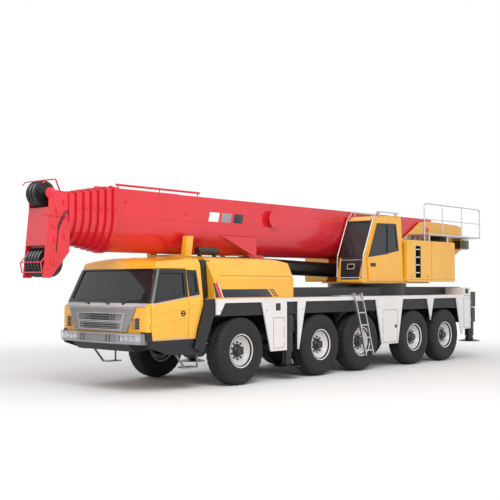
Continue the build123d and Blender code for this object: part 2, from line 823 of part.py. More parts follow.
DOOR = (
    (CAB_FRONT_X - 160, CAB_FLOOR + 25),
    (CAB_FRONT_X - 160, CAB_BELT - BELT_STEP_H),
    (CAB_FRONT_X - 430, CAB_EAVES - 10),
    (DOOR_REAR_X - 62, CAB_EAVES - 10),
    (DOOR_REAR_X, CAB_FLOOR + 25),
)
DOOR_WINDOW = (
    (CAB_FRONT_X - 255, CAB_BELT + 75),
    (CAB_FRONT_X - 485, CAB_EAVES - 85),
    (DOOR_REAR_X + 10, CAB_EAVES - 85),
    (DOOR_REAR_X + 45, CAB_BELT + 185),
)
QUARTER_WINDOW = (
    (DOOR_REAR_X - 92, CAB_BELT + 225),
    (DOOR_REAR_X - 122, CAB_EAVES - 85),
    (CAB_REAR_X + 150, CAB_EAVES - 85),
    (CAB_REAR_X + 150, CAB_BELT + 240),
)
WINDSCREEN = (
    (-CAB_HALF_W + 180, CAB_BELT + 70),
    (CAB_HALF_W - 180, CAB_BELT + 70),
    (CAB_EAVES_HALF_W - 160, CAB_EAVES - 25),
    (160 - CAB_EAVES_HALF_W, CAB_EAVES - 25),
)


def side_wall(points, side, grow=0.0):
    """An outline on one side of the cab, through that side's wall alone."""
    with BuildPart() as prism:
        with BuildSketch(Plane.XZ.offset(-side * CAB_HALF_W)) as sheet:
            with BuildLine():
                Polyline(*points, close=True)
            make_face()
            if grow:
                offset(amount=grow, kind=Kind.INTERSECTION)
        extrude(sheet.sketch, amount=CAB_HALF_W - CAB_EAVES_HALF_W + 2 * CAB_WALL, both=True)
        add(cab_core, mode=Mode.SUBTRACT)
    return prism.part


def end_wall(points, x, reach, grow=0.0):
    """An outline seen from in front, made solid for a reach each way from X."""
    with BuildPart() as prism:
        with BuildSketch(Plane.YZ.offset(x)) as sheet:
            with BuildLine():
                Polyline(*points, close=True)
            make_face()
            if grow:
                offset(amount=grow, kind=Kind.INTERSECTION)
        extrude(sheet.sketch, amount=reach, both=True)
    return prism.part


screen_x = CAB_FRONT_X - SCREEN_STEP - SCREEN_RAKE / 2
hinge_x = CAB_FRONT_X - 160 + DOOR_GAP / 2
hinge_y = CAB_HALF_W - HINGE_R / 2
with BuildPart() as cab:
    add(cab_outer)
    add(cab_inner, mode=Mode.SUBTRACT)
    add(end_wall(WINDSCREEN, screen_x, 2 * SCREEN_RAKE), mode=Mode.SUBTRACT)
    for _, side in SIDES:
        add(side_wall(DOOR, side, DOOR_GAP), mode=Mode.SUBTRACT)
        add(side_wall(QUARTER_WINDOW, side), mode=Mode.SUBTRACT)
        for z in HINGE_Z:
            post(hinge_x, side * hinge_y, HINGE_R + OPEN, z - OPEN, z + HINGE_LEN + OPEN, mode=Mode.SUBTRACT)
save(cab.part, "cab_shell")

with BuildPart() as cab_glass:
    add(glass_outer)
    add(glass_inner, mode=Mode.SUBTRACT)
    with BuildPart(mode=Mode.PRIVATE) as panes:
        add(end_wall(WINDSCREEN, screen_x, 2 * SCREEN_RAKE, -SEAT))
        for _, side in SIDES:
            add(side_wall(QUARTER_WINDOW, side, -SEAT))
    add(panes.part, mode=Mode.INTERSECT)
save(cab_glass.part, "cab_glass")

for side_name, side in SIDES:
    with BuildPart() as door:
        add(cab_outer)
        add(side_wall(DOOR, side), mode=Mode.INTERSECT)
        add(side_wall(DOOR_WINDOW, side), mode=Mode.SUBTRACT)
        for z in HINGE_Z:
            post(hinge_x, side * hinge_y, HINGE_R, z, z + HINGE_LEN)
    save(door.part, f"cab_door_{side_name}")
    with BuildPart() as pane:
        add(glass_outer)
        add(glass_inner, mode=Mode.SUBTRACT)
        add(side_wall(DOOR_WINDOW, side, -SEAT), mode=Mode.INTERSECT)
    save(pane.part, f"cab_door_glass_{side_name}")


def bumper_form(inset):
    """The bumper as a bowed bar with round ends, cut back in front by an inset."""
    corner_x = BUMPER_X - BUMPER_SWEEP - inset
    half = BUMPER_HALF_W - inset
    back = BUMPER_X - BUMPER_DEPTH
    with BuildPart() as bar:
        with BuildSketch(Plane.XY.offset(BUMPER_LOW)) as plan:
            with BuildLine():
                Polyline((corner_x, half), (back, half), (back, -half), (corner_x, -half))
                ThreePointArc((corner_x, -half), (BUMPER_X - inset, 0), (corner_x, half))
            make_face()
            fillet(plan.vertices().group_by(Axis.X)[-1], CAB_CORNER_R - inset)
        extrude(plan.sketch, amount=BUMPER_HIGH - BUMPER_LOW)
    return bar.part


# Bumper with its lamps, grille with two slots, and the folding steps below the doors
grille_outline = (
    (-GRILLE_HALF_W[0], GRILLE_Z[0]),
    (GRILLE_HALF_W[0], GRILLE_Z[0]),
    (GRILLE_HALF_W[1], GRILLE_Z[1]),
    (-GRILLE_HALF_W[1], GRILLE_Z[1]),
)
GRILLE_SLOTS = (  # half width below and above, bottom, top
    (690, 730, 1450, 1585),
    (640, 690, 1275, 1405),
)
with BuildPart() as cab_front:
    add(cab_form(-GRILLE_PROUD))
    add(end_wall(grille_outline, CAB_FRONT_X, SCREEN_STEP), mode=Mode.INTERSECT)
    for half_low, half_high, low_z, high_z in GRILLE_SLOTS:
        with BuildPart(mode=Mode.PRIVATE) as slot:
            slot_outline = ((-half_low, low_z), (half_low, low_z), (half_high, high_z), (-half_high, high_z))
            add(end_wall(slot_outline, CAB_FRONT_X, SCREEN_STEP))
            add(cab_form(OPEN - GRILLE_PROUD), mode=Mode.SUBTRACT)
        add(slot.part, mode=Mode.SUBTRACT)
    add(bumper_form(0))
    with BuildPart(mode=Mode.PRIVATE) as lamp_pockets:
        add(bumper_form(0))
        add(bumper_form(LAMP_DEPTH), mode=Mode.SUBTRACT)
        with BuildPart(mode=Mode.PRIVATE) as zones:
            for _, side in SIDES:
                box_between(
                    (BUMPER_X - BUMPER_DEPTH / 2, side * LAMP_Y[0], LAMP_Z[0]),
                    (BUMPER_X, side * LAMP_Y[1], LAMP_Z[1]),
                )
        add(zones.part, mode=Mode.INTERSECT)
    add(lamp_pockets.part, mode=Mode.SUBTRACT)
    add(cab_outer, mode=Mode.SUBTRACT)
    for _, side in SIDES:
        outer = side * (CAB_HALF_W - SILL_THICK)
        inner = side * (CAB_HALF_W - SILL_THICK - STEP_PLATE)
        side_sheet(
            (
                (STEP_X[1] + 300, SILL_BOTTOM + 100),
                (STEP_X[1] + 250, SILL_BOTTOM + 100),
                (STEP_X[1] - 30, STEP_Z),
                (STEP_X[0] + 30, STEP_Z),
                (STEP_X[0] + 30, SILL_BOTTOM + 100),
                (STEP_X[0], SILL_BOTTOM + 100),
                (STEP_X[0], STEP_Z - 30),
                (STEP_X[1], STEP_Z - 30),
            ),
            outer,
            inner,
        )
        box_between((STEP_X[0], inner, STEP_Z - 30), (STEP_X[1], inner - side * STEP_TREAD, STEP_Z))
save(cab_front.part, "cab_front")


def seat(x, y, floor, width):
    """A seat on its box: one padded outline for the cushion and the reclined back."""
    side_sheet(
        (
            (x + 260, floor + 480),
            (x + 250, floor + 350),
            (x - 290, floor + 350),
            (x - 390, floor + 1150),
            (x - 270, floor + 1150),
            (x - 170, floor + 470),
        ),
        y - width / 2,
        y + width / 2,
        corner=40,
    )
    box_between((x - 190, y - width / 3, floor), (x + 190, y + width / 3, floor + 350))


# Seats, dashboard and steering wheel
floor = CAB_FLOOR + CAB_WALL + SEAT
with BuildPart() as interior:
    for y in (-SEAT_Y, SEAT_Y):
        seat(SEAT_X, y, floor, SEAT_W)
    side_sheet(
        (
            (SEAT_X + 350, floor + 520),
            (SEAT_X + 400, floor + 700),
            (SEAT_X + 590, floor + 660),
            (SEAT_X + 590, floor + 480),
        ),
        -DASH_HALF_W,
        DASH_HALF_W,
        corner=30,
    )
    box_between((SEAT_X + 430, -DASH_HALF_W / 6, floor), (SEAT_X + 560, DASH_HALF_W / 6, floor + 500))
    wheel_plane = Plane((SEAT_X + 340, SEAT_Y, floor + 800), x_dir=(0, 1, 0), z_dir=(0.6, 0, -1))
    with BuildSketch(wheel_plane):
        Circle(STEERING_R)
        Circle(STEERING_R - 34, mode=Mode.SUBTRACT)
        Rectangle(2 * STEERING_R - 40, 40)
    extrude(amount=26)
    with BuildSketch(wheel_plane):
        Circle(28)
    extrude(amount=200)
save(interior.part, "cab_interior")

# Engine hood over a plain engine block, with the boom rest on the hood's front
hood_front_top = HOOD_FRONT_X + HOOD_LEAN


def hood_form(inset):
    """The hood as a solid: its side outline within its crowned cross-section, cut back by an inset."""
    with BuildPart() as body:
        with BuildSketch(Plane.XZ) as side_view:
            with BuildLine():
                Polyline(
                    (HOOD_REAR_X + inset, DECK_TOP),
                    (HOOD_REAR_X - HOOD_LEAN / 3 + inset, HOOD_SHOULDER_Z - HOOD_TAIL_DROP - inset),
                    (HOOD_REAR_X + 450, HOOD_SHOULDER_Z + 10 - inset),
                    (HOOD_REAR_X + 1000, HOOD_CROWN + HOOD_LEAN),
                    (hood_front_top - inset, HOOD_CROWN + HOOD_LEAN),
                    (HOOD_FRONT_X - inset, DECK_TOP),
                    close=True,
                )
            make_face()
        extrude(side_view.sketch, amount=HALF_WIDTH, both=True)
        with BuildSketch(Plane.YZ) as front_view:
            with BuildLine():
                crown = ThreePointArc(
                    (inset - HOOD_SHOULDER_W, HOOD_SHOULDER_Z - inset),
                    (0, HOOD_CROWN - inset),
                    (HOOD_SHOULDER_W - inset, HOOD_SHOULDER_Z - inset),
                )
                Polyline(
                    crown @ 1,
                    (HOOD_HALF_W - inset, DECK_TOP + HOOD_SIDE_H),
                    (HOOD_HALF_W - inset, DECK_TOP),
                    (inset - HOOD_HALF_W, DECK_TOP),
                    (inset - HOOD_HALF_W, DECK_TOP + HOOD_SIDE_H),
                    crown @ 0,
                )
            make_face()
            fillet(front_view.vertices().group_by(Axis.Y)[-1], HOOD_ROUND - inset)
        extrude(front_view.sketch, amount=2 * abs(TAIL_X), both=True, mode=Mode.INTERSECT)
    return body.part


hood_outer = hood_form(0)
with BuildPart() as hood:
    add(hood_outer)
    add(hood_form(HOOD_WALL), mode=Mode.SUBTRACT)
    for _, side in SIDES:
        low_y = side * (REST_Y - REST_W / 2)
        high_y = side * (REST_Y + REST_W / 2)
        rise = side * REST_LEAN
        with BuildSketch(Plane.YZ.offset(REST_X - REST_LEN / 2)) as prong:
            with BuildLine():
                Polyline(
                    (low_y, HOOD_SHOULDER_Z),
                    (low_y + rise, REST_TOP),
                    (high_y + rise, REST_TOP),
                    (high_y, HOOD_SHOULDER_Z),
                    close=True,
                )
            make_face()
        extrude(prong.sketch, amount=REST_LEN)
    box_between(
        (REST_X - REST_LEN / 2, -REST_Y, HOOD_SHOULDER_Z),
        (REST_X + REST_LEN / 2, REST_Y, BOOM_BOTTOM - OPEN),
    )
    add(hood_form(HOOD_WALL), mode=Mode.SUBTRACT)
save(hood.part, "engine_hood")

with BuildPart() as engine:
    box_between(
        (HOOD_REAR_X + 500, -FRAME_HALF_W + HOOD_WALL, FRAME_TOP),
        (HOOD_FRONT_X - 275, FRAME_HALF_W - HOOD_WALL, FRAME_TOP + ENGINE_H),
    )
save(engine.part, "engine_block")

# Silencer on its straps and the air intake on the hood's front
with BuildPart() as silencer:
    with BuildSketch(Plane.YZ.offset(SILENCER_X[0])) as drum:
        with Locations((SILENCER_Y, SILENCER_Z)):
            Circle(SILENCER_R)
    extrude(drum.sketch, amount=SILENCER_X[1] - SILENCER_X[0])
    for x in (SILENCER_X[0] + SILENCER_R, SILENCER_X[1] - SILENCER_R):
        box_between(
            (x - 30, SILENCER_Y - SILENCER_R / 2, HOOD_SHOULDER_Z),
            (x + 30, SILENCER_Y + SILENCER_R / 2, SILENCER_Z),
        )
    side_sheet(
        (
            (INTAKE_X[0], INTAKE_Z[0]),
            (INTAKE_X[0], INTAKE_Z[1]),
            (INTAKE_X[1], INTAKE_Z[1]),
            (INTAKE_X[1], INTAKE_Z[0] + 300),
            (INTAKE_X[1] - 60, INTAKE_Z[0]),
        ),
        INTAKE_Y[0],
        INTAKE_Y[1],
    )
    add(hood_outer, mode=Mode.SUBTRACT)
save(silencer.part, "intake_and_silencer")

# Turntable: floor, cheek plates and the boom's foot bores
cheek_outline = (
    (-2300, TURNTABLE_TOP),
    (-2900, 2900),
    (-4475, 3500),
    (PIVOT_X + 380, PIVOT_Z + 210),
    (PIVOT_X, PIVOT_Z + CHEEK_EAR),
    (PIVOT_X - 280, PIVOT_Z + CHEEK_EAR - 10),
    (TAIL_X + 325, PIVOT_Z + 220),
    (TAIL_X, PIVOT_Z + 170),
    (TAIL_X, TAIL_BEAM_LOW),
    (-6300, 2600),
    (FLOOR_REAR, TURNTABLE_TOP),
)
lift_lug = (
    (LIFT_X - 300, TURNTABLE_TOP),
    (LIFT_X - 110, LIFT_Z + 100),
    (LIFT_X + 80, LIFT_Z + 100),
    (LIFT_X + 120, LIFT_Z),
    (LIFT_X + 120, TURNTABLE_TOP),
)
lug_in = EYE_HALF_W + OPEN
lug_out = lug_in + LUG_THICK
cheek_out = CHEEK_IN + CHEEK_THICK
with BuildPart() as turntable:
    with BuildSketch(Plane.XY.offset(TURNTABLE_BOTTOM)) as floor_plan:
        with Locations((SLEW_X, 0)):
            Circle(TURNTABLE_R)
        with Locations(((FLOOR_FRONT + FLOOR_REAR) / 2, 0)):
            Rectangle(FLOOR_FRONT - FLOOR_REAR, 2 * cheek_out)
        with Locations((FLOOR_FRONT, (OP_IN + OP_OUT) / 2 - 85)):
            Rectangle(1500, OP_OUT - OP_IN + 50)
    extrude(floor_plan.sketch, amount=FLOOR_THICK)
    for _, side in SIDES:
        side_sheet(cheek_outline, side * CHEEK_IN, side * cheek_out)
        side_sheet(lift_lug, side * lug_in, side * lug_out)
    box_between((TAIL_X, -CHEEK_IN, TAIL_BEAM_LOW), (TAIL_X + TAIL_BEAM_LEN, CHEEK_IN, TAIL_BEAM_HIGH))
    for x, z, radius in (
        (PIVOT_X, PIVOT_Z, PIVOT_R),
        (LIFT_X, LIFT_Z, LIFT_PIN_R),
        (WINCH_X, WINCH_Z, WINCH_SHAFT_R),
    ):
        cross_bar(x, z, radius + CLEAR, -HALF_WIDTH, HALF_WIDTH, mode=Mode.SUBTRACT)
save(turntable.part, "turntable")

# Machinery houses beside the cheeks; the one behind the operator's cab has a bay of steps
with BuildPart() as house:
    for front, side in ((OP_REAR_X - HOUSE_GAP, 1), (-2500, -1)):
        side_sheet(
            (
                (HOUSE_REAR, TURNTABLE_TOP),
                (HOUSE_REAR, HOUSE_TOP),
                (front, HOUSE_TOP),
                (front, TURNTABLE_TOP),
            ),
            side * cheek_out,
            side * HOUSE_OUT,
            corner=HOUSE_CORNER,
        )
    box_between(
        (STEP_BAY_X[0], HOUSE_OUT - STEP_BAY_DEPTH, STEP_BAY_Z[0]),
        (STEP_BAY_X[1], HOUSE_OUT, STEP_BAY_Z[1]),
        mode=Mode.SUBTRACT,
    )
    for step in range(STEP_RUNGS):
        z = STEP_BAY_Z[0] + (step + 0.6) * (STEP_BAY_Z[1] - STEP_BAY_Z[0]) / STEP_RUNGS
        with BuildSketch(Plane.YZ.offset(STEP_BAY_X[0])) as rung:
            with Locations((HOUSE_OUT - 2 * RUNG_R, z)):
                Circle(RUNG_R)
        extrude(rung.sketch, amount=STEP_BAY_X[1] - STEP_BAY_X[0])
    box_between(*TANK_BOX)
save(house.part, "machinery_house")

drum_half = CHEEK_IN - WINCH_SIDE_GAP
with BuildPart() as winch:
    cross_bar(WINCH_X, WINCH_Z, WINCH_R, -drum_half, drum_half)
    for _, side in SIDES:
        cross_bar(
            WINCH_X,
            WINCH_Z,
            WINCH_FLANGE_R,
            side * drum_half,
            side * (drum_half - WINCH_FLANGE_THICK),
        )
    cross_bar(WINCH_X, WINCH_Z, WINCH_SHAFT_R, -cheek_out, cheek_out)
save(winch.part, "winch_drum")

# Operator's cab, sheet metal round a floor, and the bars that guard its screen
op_profile = (
    (OP_REAR_X, OP_FLOOR),
    (OP_REAR_X + 125, OP_ROOF - 50),
    (OP_REAR_X + 175, OP_ROOF),
    (OP_FRONT_X - 650, OP_ROOF - 60),
    (OP_FRONT_X - 530, OP_ROOF - 160),
    (OP_FRONT_X - 140, OP_SILL),
    (OP_FRONT_X - 50, OP_FLOOR + 260),
    (OP_FRONT_X, OP_FLOOR),
)
OP_DOOR = (
    (OP_FRONT_X - 330, OP_FLOOR + 70),
    (OP_FRONT_X - 270, OP_SILL + 14),
    (OP_FRONT_X - 680, OP_ROOF - 240),
    (OP_DOOR_REAR_X, OP_ROOF - 230),
    (OP_DOOR_REAR_X, OP_FLOOR + 70),
)
OP_DOOR_WINDOW = (
    (OP_FRONT_X - 325, OP_SILL + 50),
    (OP_FRONT_X - 705, OP_ROOF - 280),
    (OP_DOOR_REAR_X + 40, OP_ROOF - 270),
    (OP_DOOR_REAR_X + 45, OP_SILL + 140),
)
OP_SIDE_WINDOW = (
    (OP_DOOR_REAR_X - 55, OP_SILL + 155),
    (OP_DOOR_REAR_X - 55, OP_ROOF - 265),
    (OP_REAR_X + 410, OP_ROOF - 267),
    (OP_REAR_X + 300, OP_SILL + 247),
)
OP_INNER_WINDOW = (
    (OP_FRONT_X - 310, OP_SILL + 84),
    (OP_FRONT_X - 600, OP_ROOF - 400),
    (OP_REAR_X + 365, OP_ROOF - 300),
    (OP_REAR_X + 365, OP_SILL + 84),
)
OP_SCREEN = (
    (OP_IN + 45, OP_SILL + 25),
    (OP_OUT - 45, OP_SILL + 25),
    (OP_OUT - 45, OP_ROOF - 205),
    (OP_IN + 45, OP_ROOF - 205),
)


def op_form(inset):
    """The operator's cab as a solid, cut back by an inset."""
    with BuildPart() as body:
        with BuildSketch(Plane.XZ.offset(-(OP_IN + inset))) as outline:
            with BuildLine():
                Polyline(*op_profile, close=True)
            make_face()
            if inset:
                offset(amount=-inset, kind=Kind.INTERSECTION)
        extrude(outline.sketch, amount=-(OP_OUT - OP_IN - 2 * inset))
    return body.part


def op_wall(points, y, grow=0.0):
    """An outline on one side of the operator's cab, through that wall."""
    with BuildPart() as prism:
        with BuildSketch(Plane.XZ.offset(-y)) as outline:
            with BuildLine():
                Polyline(*points, close=True)
            make_face()
            if grow:
                offset(amount=grow, kind=Kind.INTERSECTION)
        extrude(outline.sketch, amount=3 * OP_WALL, both=True)
    return prism.part


op_screen_x = OP_FRONT_X - 335
op_screen_reach = 240
op_door_in = OP_OUT + OP_DOOR_GAP
with BuildPart() as op_cab:
    add(op_form(0))
    add(op_form(OP_WALL), mode=Mode.SUBTRACT)
    add(end_wall(OP_SCREEN, op_screen_x, op_screen_reach), mode=Mode.SUBTRACT)
    add(op_wall(OP_DOOR, OP_OUT, -OP_DOOR_GAP), mode=Mode.SUBTRACT)
    add(op_wall(OP_SIDE_WINDOW, OP_OUT), mode=Mode.SUBTRACT)
    add(op_wall(OP_INNER_WINDOW, OP_IN), mode=Mode.SUBTRACT)
    box_between(
        (OP_REAR_X + 60, OP_OUT, OP_FLOOR + 30),
        (OP_FRONT_X - 280, op_door_in + OP_WALL + OPEN, OP_FLOOR + 70 - CLEAR),
    )
save(op_cab.part, "upper_cab_shell")

with BuildPart() as op_glass:
    add(op_form(OPEN))
    add(op_form(OPEN + GLASS_THICK), mode=Mode.SUBTRACT)
    with BuildPart(mode=Mode.PRIVATE) as panes:
        add(end_wall(OP_SCREEN, op_screen_x, op_screen_reach, -SEAT))
        add(op_wall(OP_SIDE_WINDOW, OP_OUT, -SEAT))
        add(op_wall(OP_INNER_WINDOW, OP_IN, -SEAT))
    add(panes.part, mode=Mode.INTERSECT)
save(op_glass.part, "upper_cab_glass")

with BuildPart() as op_door:
    side_sheet(OP_DOOR, op_door_in, op_door_in + OP_WALL)
    add(op_wall(OP_DOOR_WINDOW, OP_OUT), mode=Mode.SUBTRACT)
    with BuildPart(mode=Mode.PRIVATE) as op_pane:
        add(op_wall(OP_DOOR_WINDOW, OP_OUT, -SEAT))
        with BuildPart(mode=Mode.PRIVATE) as pane_slab:
            box_between(
                (OP_REAR_X, op_door_in + OPEN, OP_FLOOR),
                (OP_FRONT_X, op_door_in + OPEN + GLASS_THICK, OP_ROOF),
            )
        add(pane_slab.part, mode=Mode.INTERSECT)
    add(op_pane.part)
save(op_door.part, "upper_cab_door")

with BuildPart() as op_seat:
    seat((OP_FRONT_X + OP_REAR_X) / 2 + 20, (OP_IN + OP_OUT) / 2, OP_FLOOR + OP_WALL + SEAT, SEAT_W - 40)
save(op_seat.part, "upper_cab_seat")

# Service platform with its railing, and the bars that guard the operator's screen
BAR_ROUTE = (  # X and Z
    (OP_FRONT_X - 30, OP_FLOOR + 110),
    (OP_FRONT_X - 65, OP_SILL + 40),
    (OP_FRONT_X - 500, OP_ROOF - 150),
    (OP_FRONT_X - 700, OP_ROOF + 60),
    (OP_REAR_X + 310, OP_ROOF + 60),
)
with BuildPart() as railing:
    box_between(
        (PLATFORM_X[0], cheek_out, PLATFORM_Z),
        (PLATFORM_X[1], PLATFORM_OUT, PLATFORM_Z + PLATFORM_THICK),
    )
    for x in (PLATFORM_X[1] - 60, PLATFORM_X[1] - 1060):
        box_between((x - 40, cheek_out, HOUSE_TOP), (x + 40, PLATFORM_OUT - RAIL_R, PLATFORM_Z))
    rail_y = PLATFORM_OUT - RAIL_R
    for x in POST_X[1:-1]:
        post(x, rail_y, POST_R, PLATFORM_Z + PLATFORM_THICK, RAIL_TOP_Z)
    bent_tube(
        (
            (POST_X[-1], rail_y, PLATFORM_Z + PLATFORM_THICK),
            (POST_X[-1], rail_y, RAIL_TOP_Z),
            (POST_X[0], rail_y, RAIL_TOP_Z),
            (POST_X[0], rail_y, HOUSE_TOP),
        ),
        RAIL_BEND,
        RAIL_R,
    )
    with BuildSketch(Plane.YZ.offset(POST_X[-1])) as mid_rail:
        with Locations((rail_y, MID_RAIL_Z)):
            Circle(MID_RAIL_R)
    extrude(mid_rail.sketch, amount=POST_X[0] - POST_X[-1])
    for y, inward in zip(OP_BAR_Y, (OP_IN + 20, OP_OUT - 20)):
        bent_tube([(x, y, z) for x, z in BAR_ROUTE], OP_BAR_BEND, OP_BAR_R)
        for x, z in (BAR_ROUTE[0], BAR_ROUTE[2]):
            box_between((x - OP_BAR_R, y, z - OP_BAR_R), (x + OP_BAR_R, inward, z + OP_BAR_R))
        for x in (OP_FRONT_X - 800, OP_REAR_X + 400):
            box_between((x - OP_BAR_R, y, OP_ROOF - 60), (x + OP_BAR_R, inward, OP_ROOF + 60))
    add(op_form(0), mode=Mode.SUBTRACT)
save(railing.part, "platform_railing")


def boom_face(x, inset):
    """The boom's section at X, square above the knuckle line and round below, cut back by an inset."""
    half = BOOM_HALF_W - inset
    belly_r = BELLY_R - inset
    drop = BOOM_KNUCKLE_Z - BOOM_BOTTOM - BELLY_R
    flank_r = (half**2 + drop**2 - belly_r**2) / (2 * (half - belly_r))
    turn = degrees(atan2(drop, flank_r - half))
    with BuildSketch(Plane.YZ.offset(x)) as face:
        with BuildLine():
            right = CenterArc((half - flank_r, BOOM_KNUCKLE_Z), flank_r, 0, -turn)
            CenterArc((0, BOOM_KNUCKLE_Z - drop), belly_r, -turn, 2 * turn - 180)
            left = CenterArc((flank_r - half, BOOM_KNUCKLE_Z), flank_r, turn - 180, -turn)
            Polyline(right @ 0, (half, BOOM_TOP - inset), (-half, BOOM_TOP - inset), left @ 1)
        make_face()
    return face.sketch


# Boom: base section and six inner ones, each a tube with a collar and a pad ring at its mouth
section_step = BOOM_WALL + BOOM_GAP
head_x = BOOM_FRONT + COLLAR_PITCH * (SECTIONS - 1)
boom_lug = (
    (ROD_EYE_X - ROD_EYE_R, BOOM_BOTTOM + 60),
    (ROD_EYE_X - ROD_EYE_R, ROD_EYE_Z),
    (ROD_EYE_X - 70, ROD_EYE_Z - 100),
    (ROD_EYE_X + 70, ROD_EYE_Z - 100),
    (ROD_EYE_X + 125, ROD_EYE_Z + 60),
    (ROD_EYE_X + 500, BOOM_BOTTOM + 60),
)
gusset = (
    GUSSET_NOSE,
    (ROD_EYE_X + 510, BOOM_BOTTOM - 40),
    (ROD_EYE_X + 510, GUSSET_NOSE[1]),
)
head_plate = (
    (head_x - COLLAR_LEN / 2, HEAD_TOP - 30),
    (HEAD_FACE_X + 20, HEAD_TOP),
    (HEAD_FACE_X, HEAD_COVER_TOP),
    (HEAD_TIP, HEAD_BOTTOM),
    (HEAD_TIP - 180, HEAD_BOTTOM),
    (head_x - COLLAR_LEN / 2 + 25, HEAD_BOTTOM + 515),
)
cover_low = LOW_SHEAVE_Z + LOW_SHEAVE_R + 4 * OPEN
cover_lean = (HEAD_TIP - HEAD_FACE_X) / (HEAD_COVER_TOP - HEAD_BOTTOM)
cover_foot = HEAD_FACE_X + (HEAD_COVER_TOP - cover_low) * cover_lean
cover_plate = (
    (HEAD_FACE_X, HEAD_COVER_TOP),
    (cover_foot, cover_low),
    (cover_foot - COVER_THICK, cover_low),
    (HEAD_FACE_X - COVER_THICK, HEAD_COVER_TOP),
)
for number in range(1, SECTIONS + 1):
    inset = section_step * (number - 1)
    tail = BOOM_REAR + (TAIL_INSET + TAIL_STEP * (number - 1) if number > 1 else 0)
    mouth = BOOM_FRONT + COLLAR_PITCH * (number - 1)
    with BuildPart() as section:
        extrude(boom_face(tail, inset), amount=mouth - tail)
        extrude(boom_face(mouth - COLLAR_LEN, inset - COLLAR_PROUD), amount=COLLAR_LEN)
        for _, side in SIDES:
            box_between(
                (mouth - 0.8 * COLLAR_LEN, side * COLLAR_LUG_Y, BOOM_TOP - inset),
                (mouth - 0.2 * COLLAR_LEN, side * (COLLAR_LUG_Y + 80), BOOM_TOP - inset + COLLAR_PROUD + 35),
            )
            if number == 1:
                cross_bar(PIVOT_X, PIVOT_Z, PIVOT_R, side * (BOOM_HALF_W - BOOM_WALL / 2), side * cheek_out)
                side_sheet(boom_lug, side * lug_in, side * lug_out)
                side_sheet(gusset, side * (BOOM_HALF_W - GUSSET_THICK), side * BOOM_HALF_W)
                box_between(
                    (gusset[1][0], side * (BOOM_HALF_W - 3 * GUSSET_THICK), GUSSET_NOSE[1] - GUSSET_THICK),
                    (GUSSET_NOSE[0], side * BOOM_HALF_W, GUSSET_NOSE[1]),
                )
                with BuildSketch(Plane.YZ.offset(GUIDE_X[0])) as guide:
                    with Locations((side * GUIDE_Y, GUIDE_Z)):
                        Circle(GUIDE_R)
                extrude(guide.sketch, amount=GUIDE_X[1] - GUIDE_X[0])
                for x in (GUIDE_X[0] + 60, (GUIDE_X[0] + GUIDE_X[1]) / 2, GUIDE_X[1] - 60):
                    post(x, side * GUIDE_Y, GUIDE_R / 2, BOOM_TOP, GUIDE_Z)
            if number == SECTIONS:
                side_sheet(head_plate, side * (HEAD_HALF_W - HEAD_PLATE), side * HEAD_HALF_W)
                for x, z in ((TOP_SHEAVE_X, TOP_SHEAVE_Z), (LOW_SHEAVE_X, LOW_SHEAVE_Z)):
                    cross_bar(x, z, 2 * SHAFT_R, side * (HEAD_HALF_W - HEAD_PLATE), side * HEAD_HALF_W)
        if number == 1:
            cross_bar(REEL_X, REEL_Z, REEL_R / 2, BOOM_HALF_W - BOOM_WALL / 2, BOOM_HALF_W + REEL_REACH)
            for y in (BOOM_HALF_W + REEL_RIM / 2, BOOM_HALF_W + REEL_REACH - REEL_RIM):
                cross_bar(REEL_X, REEL_Z, REEL_R, y, y + REEL_RIM)
        if number < SECTIONS:
            hollow = mouth - tail - PAD_RING_LEN
            extrude(boom_face(tail, inset + BOOM_WALL), amount=hollow, mode=Mode.SUBTRACT)
            pad_ring = boom_face(mouth - PAD_RING_LEN, inset + section_step - SEAT)
            extrude(pad_ring, amount=PAD_RING_LEN, mode=Mode.SUBTRACT)
        else:
            hollow = mouth - tail - COLLAR_LEN
            extrude(boom_face(tail, inset + BOOM_WALL), amount=hollow, mode=Mode.SUBTRACT)
            side_sheet(cover_plate, HEAD_PLATE - HEAD_HALF_W, HEAD_HALF_W - HEAD_PLATE)
            cross_bar(JIB_PIN_X, JIB_PIN_Z, 1.7 * JIB_PIN_R, -HEAD_HALF_W, HEAD_HALF_W)
            for x, z, radius in (
                (TOP_SHEAVE_X, TOP_SHEAVE_Z, SHAFT_R + SEAT),
                (LOW_SHEAVE_X, LOW_SHEAVE_Z, SHAFT_R + SEAT),
                (JIB_PIN_X, JIB_PIN_Z, JIB_PIN_R),
            ):
                cross_bar(x, z, radius, -HEAD_HALF_W, HEAD_HALF_W, mode=Mode.SUBTRACT)
    save(section.part, "boom_base" if number == 1 else f"boom_section_{number}")

